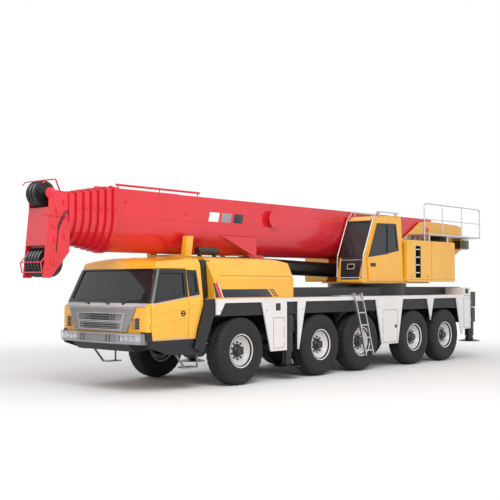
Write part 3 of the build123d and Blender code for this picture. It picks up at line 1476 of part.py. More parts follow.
# Boom head sheaves: centre, radius and count
SHEAVES = (
    (TOP_SHEAVE_X, TOP_SHEAVE_Z, TOP_SHEAVE_R, 3),
    (LOW_SHEAVE_X, LOW_SHEAVE_Z, LOW_SHEAVE_R, 5),
)
with BuildPart() as sheaves:
    for x, z, radius, count in SHEAVES:
        groove = radius - SHEAVE_GROOVE
        web = SHEAVE_W / 4
        for place in range(count):
            y = (place - (count - 1) / 2) * SHEAVE_PITCH
            with BuildSketch(Plane((x, y, z), x_dir=(0, 1, 0), z_dir=(1, 0, 0))) as rim:
                with BuildLine():
                    Polyline(
                        (-SHEAVE_W / 2, 0),
                        (SHEAVE_W / 2, 0),
                        (SHEAVE_W / 2, 2 * SHAFT_R),
                        (web, 2 * SHAFT_R),
                        (web, groove - SHEAVE_GROOVE),
                        (SHEAVE_W / 2, groove - SHEAVE_GROOVE),
                        (SHEAVE_W / 2, radius),
                        (SHEAVE_W / 3, radius),
                        (0, groove),
                        (-SHEAVE_W / 3, radius),
                        (-SHEAVE_W / 2, radius),
                        (-SHEAVE_W / 2, groove - SHEAVE_GROOVE),
                        (-web, groove - SHEAVE_GROOVE),
                        (-web, 2 * SHAFT_R),
                        (-SHEAVE_W / 2, 2 * SHAFT_R),
                        close=True,
                    )
                make_face()
            revolve(rim.sketch, axis=Axis((x, 0, z), (0, 1, 0)))
        cross_bar(x, z, SHAFT_R, -HEAD_HALF_W, HEAD_HALF_W)
save(sheaves.part, "boom_sheaves")

# Luffing cylinder, drawn along its own line from the turntable to the boom
lift_length = hypot(ROD_EYE_X - LIFT_X, ROD_EYE_Z - LIFT_Z)
barrel_end = lift_length - ROD_EYE_R - BARREL_FRONT_GAP
along = Plane((LIFT_X, 0, LIFT_Z), x_dir=(0, 1, 0), z_dir=(ROD_EYE_X - LIFT_X, 0, ROD_EYE_Z - LIFT_Z))


def lift_bar(start, radius, length, mode=Mode.ADD):
    """A round length on the cylinder's own line."""
    with BuildSketch(along.offset(start)) as disc:
        Circle(radius)
    extrude(disc.sketch, amount=length, mode=mode)


with BuildPart() as barrel:
    lift_bar(0, BARREL_R, barrel_end)
    lift_bar(barrel_end - GLAND_LEN, BARREL_R + GLAND_PROUD, GLAND_LEN)
    cross_bar(LIFT_X, LIFT_Z, LIFT_EYE_R, -BARREL_R, BARREL_R)
    lift_bar(LIFT_EYE_R + OPEN, BARREL_BORE_R, barrel_end - LIFT_EYE_R - 8 * OPEN, mode=Mode.SUBTRACT)
    lift_bar(LIFT_EYE_R + OPEN, ROD_R + CLEAR, lift_length, mode=Mode.SUBTRACT)
    for _, side in SIDES:
        box_between(
            (LIFT_X - 2 * BARREL_R, side * EYE_HALF_W, LIFT_Z - 2 * BARREL_R),
            (LIFT_X + LIFT_EYE_R - OPEN, side * 2 * BARREL_R, LIFT_Z + 2 * BARREL_R),
            mode=Mode.SUBTRACT,
        )
    cross_bar(LIFT_X, LIFT_Z, LIFT_PIN_R, -lug_out, lug_out)
save(barrel.part, "lift_cylinder")

with BuildPart() as rod:
    lift_bar(LIFT_EYE_R + 2 * OPEN, BARREL_BORE_R - CLEAR, PISTON_LEN)
    lift_bar(LIFT_EYE_R + 2 * OPEN, ROD_R, lift_length - LIFT_EYE_R - 2 * OPEN)
    cross_bar(ROD_EYE_X, ROD_EYE_Z, ROD_EYE_R, -EYE_HALF_W, EYE_HALF_W)
    cross_bar(ROD_EYE_X, ROD_EYE_Z, LIFT_PIN_R, -EYE_HALF_W, EYE_HALF_W, mode=Mode.SUBTRACT)
save(rod.part, "lift_rod")

# Hook-on ladders, one on each side, leaning out from the deck's edge, each with a tread on the deck
with BuildPart() as ladders:
    for _, side in SIDES:
        for x in LADDER_X:
            with BuildSketch(Plane.YZ.offset(x - LADDER_BAR / 2)) as stile:
                with BuildLine():
                    Polyline(
                        (side * (LADDER_TOP[0] - 130), DECK_TOP),
                        (side * (LADDER_TOP[0] - 130), DECK_TOP + LADDER_BAR),
                        (side * (LADDER_TOP[0] - 25), LADDER_TOP[1]),
                        (side * (LADDER_TOP[0] + 25), LADDER_TOP[1]),
                        (side * (LADDER_FOOT[0] + 25), LADDER_FOOT[1]),
                        (side * (LADDER_FOOT[0] - 25), LADDER_FOOT[1]),
                        (side * (LADDER_TOP[0] - 10), DECK_TOP),
                        close=True,
                    )
                make_face()
            extrude(stile.sketch, amount=LADDER_BAR)
        for rung in range(RUNGS):
            share = (rung + 0.6) / RUNGS
            y = side * (LADDER_TOP[0] + share * (LADDER_FOOT[0] - LADDER_TOP[0]))
            z = LADDER_TOP[1] + share * (LADDER_FOOT[1] - LADDER_TOP[1])
            box_between(
                (LADDER_X[1], y - LADDER_BAR / 2, z - LADDER_BAR / 2),
                (LADDER_X[0], y + LADDER_BAR / 2, z + LADDER_BAR / 2),
            )
        box_between(
            (LADDER_X[1] - 54, side * (LADDER_TOP[0] - 130 - LADDER_TREAD), DECK_TOP),
            (LADDER_X[0] + 411, side * (LADDER_TOP[0] - 130), DECK_TOP + LADDER_BAR),
        )
save(ladders.part, "ladders")
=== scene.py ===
import json
from math import cos, pi, radians, sin

import bmesh
import bpy
import numpy as np
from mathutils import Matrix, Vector


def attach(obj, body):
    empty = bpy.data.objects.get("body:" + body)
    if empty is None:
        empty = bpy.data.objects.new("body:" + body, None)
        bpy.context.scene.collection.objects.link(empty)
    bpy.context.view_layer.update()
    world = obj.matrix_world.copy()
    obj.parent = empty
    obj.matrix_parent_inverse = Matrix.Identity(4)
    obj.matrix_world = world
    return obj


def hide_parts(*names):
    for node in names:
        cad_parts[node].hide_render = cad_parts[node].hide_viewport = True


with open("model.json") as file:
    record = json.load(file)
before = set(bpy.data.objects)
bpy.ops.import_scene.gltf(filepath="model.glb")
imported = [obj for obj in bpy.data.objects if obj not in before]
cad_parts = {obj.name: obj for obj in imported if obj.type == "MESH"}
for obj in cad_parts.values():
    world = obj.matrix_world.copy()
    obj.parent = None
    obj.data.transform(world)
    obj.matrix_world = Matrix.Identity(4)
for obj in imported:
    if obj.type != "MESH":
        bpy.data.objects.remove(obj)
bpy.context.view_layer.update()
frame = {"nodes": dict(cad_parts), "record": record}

# A five-axle mobile crane parked with its boom lowered. Metres, +X forward, +Y left, +Z up.
SIDES = (("left", 1), ("right", -1))

# Camera, solved from the ten wheels of the photograph
LENS_MM = 65.45
EYE = Vector((17.763, 14.832, 2.191))
VIEW_YAW = radians(222.245)
VIEW_PITCH = radians(2.118)


def add_camera():
    """The photograph's camera: a 36 mm wide frame, a little nose-up."""
    data = bpy.data.cameras.new("camera")
    data.lens = LENS_MM
    data.sensor_width = 36
    camera = bpy.data.objects.new("camera", data)
    bpy.context.scene.collection.objects.link(camera)
    gaze = Vector((
        cos(VIEW_YAW) * cos(VIEW_PITCH),
        sin(VIEW_YAW) * cos(VIEW_PITCH),
        sin(VIEW_PITCH),
    ))
    camera.location = EYE
    camera.rotation_euler = gaze.to_track_quat("-Z", "Y").to_euler()
    bpy.context.scene.camera = camera


def linear(code):
    """An sRGB hex colour as linear red, green, blue and alpha."""
    channels = [int(code[place:place + 2], 16) / 255 for place in (1, 3, 5)]
    return [c / 12.92 if c <= 0.04045 else ((c + 0.055) / 1.055) ** 2.4 for c in channels] + [1.0]


def add_node(tree, kind, settings=None, links=None):
    """Adds one shader node: settings name its inputs or properties, links name the sockets that feed it."""
    node = tree.nodes.new(kind)
    for name, value in (settings or {}).items():
        if name in node.inputs:
            node.inputs[name].default_value = value
        else:
            setattr(node, name, value)
    for name, socket in (links or {}).items():
        tree.links.new(socket, node.inputs[name])
    return node


def start_material(name, shader):
    """A new material's node tree, its Principled shader set, and Object coordinates to read."""
    material = bpy.data.materials.new(name)
    material.use_nodes = True
    tree = material.node_tree
    for socket, value in shader.items():
        tree.nodes["Principled BSDF"].inputs[socket].default_value = value
    place = add_node(tree, "ShaderNodeTexCoord").outputs["Object"]
    return material, tree, tree.nodes["Principled BSDF"], place


def tint_by_noise(tree, shader, place, dark, light, per_metre, detail=4.0):
    """Base colour that drifts between two hex colours over a noise of a given size."""
    noise = add_node(
        tree, "ShaderNodeTexNoise", {
            "Scale": per_metre, "Detail": detail, "Roughness": 0.6,
        }, {"Vector": place}
    )
    ramp = add_node(tree, "ShaderNodeValToRGB", {}, {"Fac": noise.outputs["Fac"]})
    ramp.color_ramp.elements[0].position = 0.3
    ramp.color_ramp.elements[0].color = linear(dark)
    ramp.color_ramp.elements[1].position = 0.7
    ramp.color_ramp.elements[1].color = linear(light)
    tree.links.new(ramp.outputs["Color"], shader.inputs["Base Color"])
    return noise


def relief(tree, shader, place, per_metre, strength, depth, edge=0.0):
    """A bump of fine noise over edges eased by a bevel of a given radius."""
    noise = add_node(tree, "ShaderNodeTexNoise", {"Scale": per_metre, "Detail": 2.0}, {"Vector": place})
    links = {"Height": noise.outputs["Fac"]}
    if edge:
        eased = add_node(tree, "ShaderNodeBevel", {"samples": 4, "Radius": edge})
        links["Normal"] = eased.outputs["Normal"]
    bump = add_node(tree, "ShaderNodeBump", {"Strength": strength, "Distance": depth}, links)
    tree.links.new(bump.outputs["Normal"], shader.inputs["Normal"])


def enamel(name, dark, light, rough, coat, edge=0.006):
    """Sprayed two-pack enamel: a clear gloss over colour that drifts a little, with orange peel of 5 mm."""
    material, tree, shader, place = start_material(
        name, {"Roughness": rough, "Coat Weight": coat, "Coat Roughness": 0.08, "IOR": 1.5}
    )
    tint_by_noise(tree, shader, place, dark, light, 0.9)
    relief(tree, shader, place, 200.0, 0.12, 0.0006, edge)
    return material


def moulded(name, dark, light, rough, grain, edge=0.004):
    """Moulded plastic or rubber: a matt skin whose grain gives a soft sheen."""
    material, tree, shader, place = start_material(name, {"Roughness": rough, "IOR": 1.5})
    tint_by_noise(tree, shader, place, dark, light, 6.0)
    relief(tree, shader, place, grain, 0.25, 0.0008, edge)
    return material


def metal(name, dark, light, rough, per_metre, edge=0.003):
    """Bare or plated metal: full metallic, its brightness broken up by a pattern of a given size."""
    material, tree, shader, place = start_material(name, {"Roughness": rough, "Metallic": 1.0})
    tint_by_noise(tree, shader, place, dark, light, per_metre, 6.0)
    relief(tree, shader, place, 300.0, 0.06, 0.0003, edge)
    return material


def tinted_glass(name, code, through):
    """Laminated safety glass: a grey body that lets part of the light through and mirrors the rest."""
    material, tree, shader, place = start_material(
        name, {"Base Color": linear(code), "Roughness": 0.02, "IOR": 1.45, "Transmission Weight": through}
    )
    ripple = add_node(tree, "ShaderNodeTexNoise", {"Scale": 1.5, "Detail": 0.0}, {"Vector": place})
    bump = add_node(
        tree, "ShaderNodeBump", {"Strength": 0.03, "Distance": 0.01}, {"Height": ripple.outputs["Fac"]},
    )
    tree.links.new(bump.outputs["Normal"], shader.inputs["Normal"])
    return material


MATERIALS = {
    # Construction-machine yellow over steel: the clear coat gives long soft reflections
    "yellow_paint": enamel("yellow_enamel", "#efaa28", "#f6b838", 0.32, 0.5),
    # Boom red, sprayed over plate: deeper and glossier
    "red_paint": enamel("red_enamel", "#cf1526", "#dc1f30", 0.3, 0.6),
    # Carrier white, a warm off-white that reads grey in shade
    "white_paint": enamel("white_enamel", "#e0dad8", "#ece7e4", 0.38, 0.3),
    # Chassis black, satin so that edges show but faces stay quiet
    "chassis_grey": enamel("chassis_enamel", "#15161a", "#1f2024", 0.45, 0.15),
    "black_paint": enamel("black_enamel", "#131316", "#1d1d21", 0.38, 0.3),
    "silver_grey": enamel("silver_lacquer", "#6f6b6e", "#8b8789", 0.3, 0.5),
    # Polypropylene mudguards with a leather grain of 3 mm
    "mudguard_black": moulded("moulded_polypropylene", "#15151a", "#1e1e23", 0.55, 330.0),
    "trim_plastic": moulded("grained_abs", "#17171a", "#222226", 0.55, 400.0),
    "tyre_rubber": moulded("vulcanised_rubber", "#111013", "#19181b", 0.68, 180.0, 0.0),
    "engine_grey": moulded("cast_iron_paint", "#343537", "#434446", 0.6, 90.0),
    # Hot-dip zinc with spangles of about 20 mm
    "galvanised": metal("hot_dip_zinc", "#b4b4b6", "#dcdcdd", 0.42, 50.0),
    # Hard chrome ground to a mirror
    "chrome_rod": metal("hard_chrome", "#d2d2d6", "#dedee2", 0.1, 8.0),
    "glass": tinted_glass("safety_glass", "#45484c", 0.7),
}
COATS = {
    "gloss_black": enamel("gloss_black_ceramic", "#0d0d10", "#141418", 0.3, 0.15, 0.002),
    "stripe_navy": enamel("navy_film", "#141a28", "#1a2132", 0.3, 0.3, 0.0),
    "stripe_red": enamel("red_film", "#e01a2c", "#e92336", 0.3, 0.3, 0.0),
    "stripe_white": enamel("white_film", "#f0eeee", "#fafafa", 0.35, 0.2, 0.0),
    "stripe_grey": enamel("grey_film", "#8b8b8e", "#97979a", 0.35, 0.2, 0.0),
    "rim_white": enamel("rim_enamel", "#cfcbc8", "#e4e0dd", 0.35, 0.3, 0.003),
    "belt_silver": enamel("satin_silver_lacquer", "#a9a5a8", "#bfbbbe", 0.28, 0.4, 0.002),
    # Painted shade: the headlamp recess is yellow, darkened here to a bronze brown
    "lamp_bronze": enamel("shaded_lamp_pan", "#9a6c22", "#b07f2c", 0.25, 0.5, 0.0),
    "grille_mesh": moulded("pressed_mesh_plastic", "#101013", "#1c1c20", 0.55, 120.0, 0.0),
    "latch_brown": moulded("bronze_tinted_plastic", "#3a2416", "#4a3020", 0.45, 300.0, 0.002),
    "lens": tinted_glass("polycarbonate_lens", "#f2f4f6", 0.9),
    "amber": tinted_glass("amber_acrylic", "#f08a10", 0.5),
    "tail_red": tinted_glass("red_acrylic", "#c81414", 0.4),
    "seat_cloth": moulded("woven_seat_cloth", "#1b1b1e", "#2c2c30", 0.9, 500.0, 0.0),
    "steel_rope": metal("drawn_steel_wire", "#5a5a5c", "#8a8a8c", 0.45, 120.0, 0.0),
}


FINISHES = {**MATERIALS, **COATS}
slots = {part["node"]: part["material_slot"] for part in frame["record"]["subparts"]}
for name, node in frame["nodes"].items():
    node.data.materials.clear()
    # The outrigger beams are black, as their jacks are
    is_beam = name.startswith("outrigger_beam")
    node.data.materials.append(MATERIALS["black_paint" if is_beam else slots[name]])


# Shapes worked out as arrays: each is (points, faces)
def weave(rows, columns, wrap_rows=False, wrap_columns=False):
    """Quads over a grid of points, joined round on itself where it wraps."""
    row = np.arange(rows if wrap_rows else rows - 1)[:, None]
    column = np.arange(columns if wrap_columns else columns - 1)[None, :]
    next_row = (row + 1) % rows
    next_column = (column + 1) % columns
    corners = (
        row * columns + column,
        next_row * columns + column,
        next_row * columns + next_column,
        row * columns + next_column,
    )
    return np.stack(
        [np.broadcast_to(c, (row.size, column.size)) for c in corners], axis=-1,
    ).reshape(-1, 4).tolist()


def skin(grid, wrap_rows=False, wrap_columns=False, cap_rows=False):
    """A surface from a grid of points (rows, columns, 3); its first and last row may be capped."""
    rows, columns = grid.shape[:2]
    faces = weave(rows, columns, wrap_rows, wrap_columns)
    if cap_rows:
        faces.append(list(range(columns)))
        faces.append(list(range((rows - 1) * columns, rows * columns))[::-1])
    return grid.reshape(-1, 3), faces


def merge(*shapes):
    """Several shapes as one."""
    points, faces, start = [], [], 0
    for some, their_faces in shapes:
        points.append(some)
        faces.extend([[corner + start for corner in face] for face in their_faces])
        start += len(some)
    return np.concatenate(points), faces


def turned(profile, centre, axis="y", side=1, steps=48, closed=True):
    """A profile (distance along the axis, radius) carried round it: x = r sin a, z = r cos a."""
    profile = np.asarray(profile, float)
    angle = np.linspace(0, 2 * pi, steps, endpoint=False)[:, None]
    along = np.broadcast_to(side * profile[:, 0], (steps, len(profile)))
    first = profile[:, 1] * np.sin(angle)
    second = profile[:, 1] * np.cos(angle)
    order = {"y": (first, along, second), "x": (along, first, second), "z": (first, second, along)}[axis]
    grid = np.stack(order, axis=-1) + np.asarray(centre, float)
    return skin(grid, wrap_rows=True, wrap_columns=closed)


def carried(profile, path, up=(0.0, 0.0, 1.0)):
    """A closed profile (across, up) carried along a path; across is up x tangent, square to the path."""
    profile = np.asarray(profile, float)
    path = np.asarray(path, float)
    tangent = np.gradient(path, axis=0)
    tangent /= np.linalg.norm(tangent, axis=1, keepdims=True)
    across = np.cross(np.asarray(up, float), tangent)
    across /= np.linalg.norm(across, axis=1, keepdims=True)
    lift = np.cross(tangent, across)
    grid = path[:, None] + profile[None, :, :1] * across[:, None] + profile[None, :, 1:] * lift[:, None]
    return skin(grid, wrap_columns=True, cap_rows=True)


def disc(radius, sides=12):
    """A round profile."""
    angle = np.linspace(0, 2 * pi, sides, endpoint=False)
    return np.stack([radius * np.cos(angle), radius * np.sin(angle)], axis=-1)


def quadratic(share, start, corner, end):
    """Points (1 - s)^2 start + 2 s (1 - s) corner + s^2 end on a curve for each corner."""
    bent_part = 2 * share * (1 - share) * corner[:, None]
    return (1 - share) ** 2 * start[:, None] + bent_part + share**2 * end[:, None]


def bent(points, radius, steps=6):
    """A path through corner points with each corner rounded by a quadratic curve of that reach."""
    points = np.asarray(points, float)
    share = np.linspace(0, 1, steps)[:, None]
    before, corner, after = points[:-2], points[1:-1], points[2:]
    into = corner - before
    out = after - corner
    start = corner - into / np.linalg.norm(into, axis=1, keepdims=True) * radius
    end = corner + out / np.linalg.norm(out, axis=1, keepdims=True) * radius
    arcs = quadratic(share, start, corner, end).reshape(-1, 3)
    return np.concatenate([points[:1], arcs, points[-1:]])


def block(low, high, ease=0.004, steps=3):
    """A box with eased edges: a sphere of the edge's radius whose eighths are pushed out to the corners."""
    low, high = np.asarray(low, float), np.asarray(high, float)
    low, high = np.minimum(low, high), np.maximum(low, high)
    half = (high - low) / 2
    ease = min(ease, 0.49 * half.min())
    quarter = np.linspace(0, pi / 2, steps)
    around = np.concatenate([quarter + pi / 2 * turn for turn in range(4)])
    east = np.repeat([1, -1, -1, 1], steps)
    north = np.repeat([1, 1, -1, -1], steps)
    tilt = np.concatenate([quarter - pi / 2, quarter])
    top = np.repeat([-1, 1], steps)
    centre = (low + high) / 2
    core = half - ease
    x = ease * np.cos(tilt)[:, None] * np.cos(around) + core[0] * east
    y = ease * np.cos(tilt)[:, None] * np.sin(around) + core[1] * north
    z = np.broadcast_to((ease * np.sin(tilt) + core[2] * top)[:, None], x.shape)
    return skin(np.stack([x, y, z], axis=-1) + centre, wrap_columns=True, cap_rows=True)


def facing(outline, axis, level):
    """An outline's points at a level on an axis: (x, z) across y, (y, z) across x, (x, y) across z."""
    outline = np.asarray(outline, float)
    deep = np.broadcast_to(np.asarray(level, float), outline.shape[:1])
    columns = {
        "y": (outline[:, 0], deep, outline[:, 1]),
        "x": (deep, outline[:, 0], outline[:, 1]),
        "z": (outline[:, 0], outline[:, 1], deep),
    }
    return np.stack(columns[axis], axis=-1)


def drawn_in(outline, amount):
    """An outline moved inwards: each corner goes along its two edges' inward normals by the amount."""
    outline = np.asarray(outline, float)
    edge = np.roll(outline, -1, axis=0) - outline
    edge /= np.linalg.norm(edge, axis=1, keepdims=True)
    area = np.sum(outline[:, 0] * np.roll(outline[:, 1], -1) - np.roll(outline[:, 0], -1) * outline[:, 1])
    normal = np.stack([-edge[:, 1], edge[:, 0]], axis=-1) * np.sign(area)
    before = np.roll(normal, 1, axis=0)
    total = normal + before
    return outline + amount * total / (1 + np.sum(normal * before, axis=1))[:, None]


def plate(outline, axis, low, high, ease=0.002):
    """A flat piece of an outline between two levels, its face edges drawn in by the ease."""
    inner = drawn_in(outline, ease)
    step = ease if high > low else -ease
    rings = (
        facing(inner, axis, low),
        facing(outline, axis, low + step),
        facing(outline, axis, high - step),
        facing(inner, axis, high),
    )
    return skin(np.stack(rings), wrap_columns=True, cap_rows=True)


def spread(outline, count):
    """An outline with each edge cut into equal shares."""
    outline = np.asarray(outline, float)
    share = np.linspace(0, 1, count, endpoint=False)[None, :, None]
    ahead = np.roll(outline, -1, axis=0)
    return (outline[:, None] * (1 - share) + ahead[:, None] * share).reshape(-1, 2)


def rounded(outline, radius, steps=5):
    """An outline whose corners are rounded by quadratic curves of that reach."""
    outline = np.asarray(outline, float)
    share = np.linspace(0, 1, steps)[:, None]
    into = outline - np.roll(outline, 1, axis=0)
    out = np.roll(outline, -1, axis=0) - outline
    start = outline - into / np.linalg.norm(into, axis=1, keepdims=True) * radius
    end = outline + out / np.linalg.norm(out, axis=1, keepdims=True) * radius
    return quadratic(share, start, outline, end).reshape(-1, 2)


def show(name, body, slot, shape, finish=None, smooth=40, stands_for=()):
    """Puts a shape into a mesh that rides on a body, smooth up to an angle in degrees."""
    points, faces = shape
    mesh = bpy.data.meshes.new(name)
    mesh.from_pydata(points.tolist(), [], faces)
    mesh.validate()
    piece = bpy.data.objects.new(name, mesh)
    bpy.context.scene.collection.objects.link(piece)
    working = bmesh.new()
    working.from_mesh(mesh)
    bmesh.ops.remove_doubles(working, verts=working.verts, dist=1e-5)
    bmesh.ops.recalc_face_normals(working, faces=working.faces)
    working.to_mesh(mesh)
    working.free()
    mesh.shade_smooth()
    mesh.set_sharp_from_angle(angle=radians(smooth))
    mesh.materials.append(FINISHES[finish or slot])
    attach(piece, body)
    if stands_for:
        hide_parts(*stands_for)
    return piece


# Road wheels
WHEEL_AXLES = (3.325, 0.535, -1.135, -3.595, -5.225)
WHEEL_Y = 1.2775
WHEEL_Z = 0.74
TREAD_PITCHES = 36
GROOVE = 0.014


def tyre_profile():
    """A tyre's section (y, r): a crown |y / half|^n + |(r - middle) / crown|^n = 1, then elliptic walls."""
    half, middle, crown, power = 0.2225, 0.53, 0.2098, 3.6
    tread_half, wall_drop, wall_turn = 0.208, 0.343, radians(37.7)
    across = np.linspace(-tread_half, tread_half, 25)
    over = np.stack([across, middle + crown * (1 - np.abs(across / half) ** power) ** (1 / power)], axis=-1)
    fall = np.linspace(0.62, 0.0, 7)[:-1]
    shoulder = np.stack(
        [half * np.cos(fall) ** (2 / power), middle + crown * np.sin(fall) ** (2 / power)], axis=-1
    )
    turn = np.linspace(0, wall_turn, 7)
    wall = np.stack([half * np.cos(turn), middle - wall_drop * np.sin(turn)], axis=-1)
    flank = np.concatenate([shoulder, wall])
    mirrored = flank[::-1] * (-1, 1)
    return np.concatenate([mirrored, over, flank])


def tyre(centre, side):
    """Tyre: its section turned about the axle, lower in the slanted lug grooves and the wavy middle one."""
    profile = tyre_profile()
    angle = np.linspace(0, 2 * pi, TREAD_PITCHES * 10, endpoint=False)[:, None]
    across, radius = profile[:, 0][None, :], profile[:, 1][None, :]
    pitch = (angle * TREAD_PITCHES / (2 * pi) + 2.2 * np.abs(across) + 0.5 * (across < 0)) % 1.0
    lug = (np.abs(pitch - 0.5) < 0.17) & (np.abs(across) > 0.045) & (radius > 0.64)
    wave = np.abs(across - GROOVE * np.sin(angle * TREAD_PITCHES)) < 0.011
    rib = (np.abs(radius - 0.615) < 0.006) & (np.abs(across) > 0.2)
    depth = radius - GROOVE * np.maximum(lug, wave) + 0.002 * rib
    grid = np.stack(
        [depth * np.sin(angle), np.broadcast_to(side * across, depth.shape), depth * np.cos(angle)], axis=-1
    )
    return skin(grid + np.asarray(centre), wrap_rows=True, wrap_columns=True)


# Sections of the turned parts of a wheel, (outward, radius)
RIM_SECTION = (
    (0.186, 0.374), (0.197, 0.368), (0.199, 0.357), (0.19, 0.345), (0.165, 0.328), (0.11, 0.303),
    (0.07, 0.288), (0.06, 0.272), (0.056, 0.255), (0.052, 0.2), (0.058, 0.17), (0.058, 0.03),
    (0.036, 0.03), (0.036, 0.262), (0.02, 0.29), (-0.1, 0.302), (-0.165, 0.328), (-0.19, 0.345),
    (-0.199, 0.357), (-0.197, 0.368), (-0.186, 0.374), (-0.17, 0.322), (0.17, 0.322),
)
HUB_SECTION = (
    (0.05, 0.142), (0.064, 0.15), (0.072, 0.146), (0.08, 0.126), (0.118, 0.112), (0.126, 0.1), (0.166, 0.094),
    (0.176, 0.086), (0.178, 0.07), (0.17, 0.05), (0.17, 0.004), (0.05, 0.004),
)
NUT_SECTION = (
    (0.05, 0.022), (0.078, 0.022), (0.086, 0.017), (0.098, 0.012), (0.104, 0.006), (0.104, 0.001),
    (0.05, 0.001),
)


NUT_REACH = 0.182
COVER_REACH = 0.07


def hub(centre, side):
    """Planetary hub: a turned section, ten wheel nuts on one circle and five cover bolts on another."""
    turns = np.linspace(0, 2 * pi, 10, endpoint=False)
    rings = [turned(HUB_SECTION, centre, side=side, steps=40)]
    for turn in turns:
        place = np.asarray(centre) + (NUT_REACH * sin(turn), 0, NUT_REACH * cos(turn))
        rings.append(turned(NUT_SECTION, place, side=side, steps=6))
    for turn in turns[::2]:
        place = np.asarray(centre) + (COVER_REACH * sin(turn), side * 0.12, COVER_REACH * cos(turn))
        rings.append(turned(np.asarray(NUT_SECTION) * (0.6, 0.5), place, side=side, steps=6))
    return merge(*rings)


for number, axle_x in enumerate(WHEEL_AXLES, start=1):
    for side_name, side in SIDES:
        centre = (axle_x, side * WHEEL_Y, WHEEL_Z)
        wheel = f"wheel_{number}_{side_name}"
        show(
            f"tyre_{number}_{side_name}", wheel, "tyre_rubber", tyre(centre, side), stands_for=[wheel],
            smooth=32,
        )
        show(
            f"rim_{number}_{side_name}", wheel, "white_paint", turned(RIM_SECTION, centre, side=side),
            "rim_white",
        )
        show(f"hub_{number}_{side_name}", wheel, "chassis_grey", hub(centre, side), "black_paint")


# Driver's cab
def belt(z, table):
    """Straight runs between the (height, value) pairs of a table."""
    heights, values = np.asarray(table).T
    return np.interp(z, heights, values)


CAB_HALF = ((1.0, 1.40), (1.70, 1.40), (1.77, 1.395), (2.50, 1.25))
FRONT_BOW = 0.075
CAB_FRONT = ((1.06, 5.97), (1.25, 5.995), (1.70, 5.99), (1.77, 5.905), (2.50, 5.62))


def on_cab_front(outline, lift):
    """A mapping of (y, z) and a lift to the bowed front: x = front(z) - bow (y / half)^2 + lift."""
    outline = np.asarray(outline, float)
    bow = FRONT_BOW * (outline[:, 0] / belt(outline[:, 1], CAB_HALF)) ** 2
    x = belt(outline[:, 1], CAB_FRONT) - bow + lift
    return np.stack([x, outline[:, 0], outline[:, 1]], axis=-1)


def raised(outline, place, low, high, cuts=1):
    """A plate that follows a curved panel between two lifts, its outline cut finely enough to bend too."""
    fine = spread(outline, cuts)
    rings = (place(fine, low), place(fine, high - 0.001), place(drawn_in(fine, 0.002), high))
    return skin(np.stack(rings), wrap_columns=True, cap_rows=True)


def strip_rows(first, second, count):
    """Two edges, each a run of points, joined by rows: a ruled sheet of (rows, columns, 2)."""
    share = np.linspace(0, 1, count)[:, None, None]
    return (1 - share) * np.asarray(first, float)[None] + share * np.asarray(second, float)[None]


def along_line(points, count):
    """A broken line resampled into equal steps of its length."""
    points = np.asarray(points, float)
    reach = np.concatenate([[0], np.cumsum(np.linalg.norm(np.diff(points, axis=0), axis=1))])
    where = np.linspace(0, reach[-1], count)
    return np.stack([np.interp(where, reach, points[:, axis]) for axis in range(points.shape[1])], axis=-1)


def shell(top, bottom):
    """Two grids of the same size closed round their edges into one solid."""
    rows, columns = top.shape[:2]
    upper, lower = weave(rows, columns), weave(rows, columns)
    start = rows * columns
    faces = upper + [[corner + start for corner in face][::-1] for face in lower]
    rim = np.concatenate([
        np.arange(columns),
        np.arange(1, rows) * columns + columns - 1,
        (rows - 1) * columns + np.arange(columns - 2, -1, -1),
        np.arange(rows - 2, 0, -1) * columns,
    ])
    ahead = np.roll(rim, -1)
    faces += np.stack([rim, ahead, ahead + start, rim + start], axis=-1).tolist()
    return np.concatenate([top.reshape(-1, 3), bottom.reshape(-1, 3)]), faces


DOOR_WINDOW = ((5.74, 1.845), (5.51, 2.415), (4.862, 2.415), (4.897, 1.955))
QUARTER_WINDOW = ((4.76, 1.995), (4.73, 2.415), (4.53, 2.415), (4.53, 2.01))
WINDSCREEN = ((-1.22, 1.84), (1.22, 1.84), (1.09, 2.475), (-1.09, 2.475))
CAB_BEND = 0.12
# The bowed front meets the corner's bend at this angle
FRONT_TURN = radians(6.1)


def corner_x(z):
    """Where the cab's side begins to turn into its front: 183 mm behind the front's middle."""
    return belt(z, CAB_FRONT) - 0.183


def on_corner(heights, angles, lift, side):
    """Rows round the cab's corner, one for each angle: x = corner + r cos a, y = half - bend + r sin a."""
    reach = CAB_BEND + lift
    half = belt(heights, CAB_HALF)
    return [
        np.stack([
            corner_x(heights) + reach * np.cos(angle), side * (
                half - CAB_BEND + reach * np.sin(angle)
            ), heights,
        ], axis=-1)
        for angle in angles
    ]


def on_cab_side(side):
    """A mapping of (x, z) and a lift to the cab's side: y = half(z), then round the bend past the corner."""
    def put(outline, lift):
        outline = np.asarray(outline, float)
        x, z = outline[:, 0], outline[:, 1]
        past = np.clip((x - corner_x(z)) / CAB_BEND, 0, 1)
        out = np.sqrt(1 - past**2)
        y = belt(z, CAB_HALF) - CAB_BEND + CAB_BEND * out + lift * out
        return np.stack([x + lift * past, side * y, z], axis=-1)
    return put


def window_frame(outer, inner, place, lift=0.006, lip=0.0, seat=-0.003, cuts=10):
    """A frame round a window, on a panel: rows between both outlines, then a lip over the glass."""
    outside, inside = spread(outer, cuts), drawn_in(spread(inner, cuts), lip)
    rows = [place(outside, seat)]
    rows += [place((1 - share) * outside + share * inside, lift) for share in np.linspace(0, 1, 6)]
    rows.append(place(inside, min(seat, -0.007)))
    return skin(np.stack(rows), wrap_rows=True, wrap_columns=True)


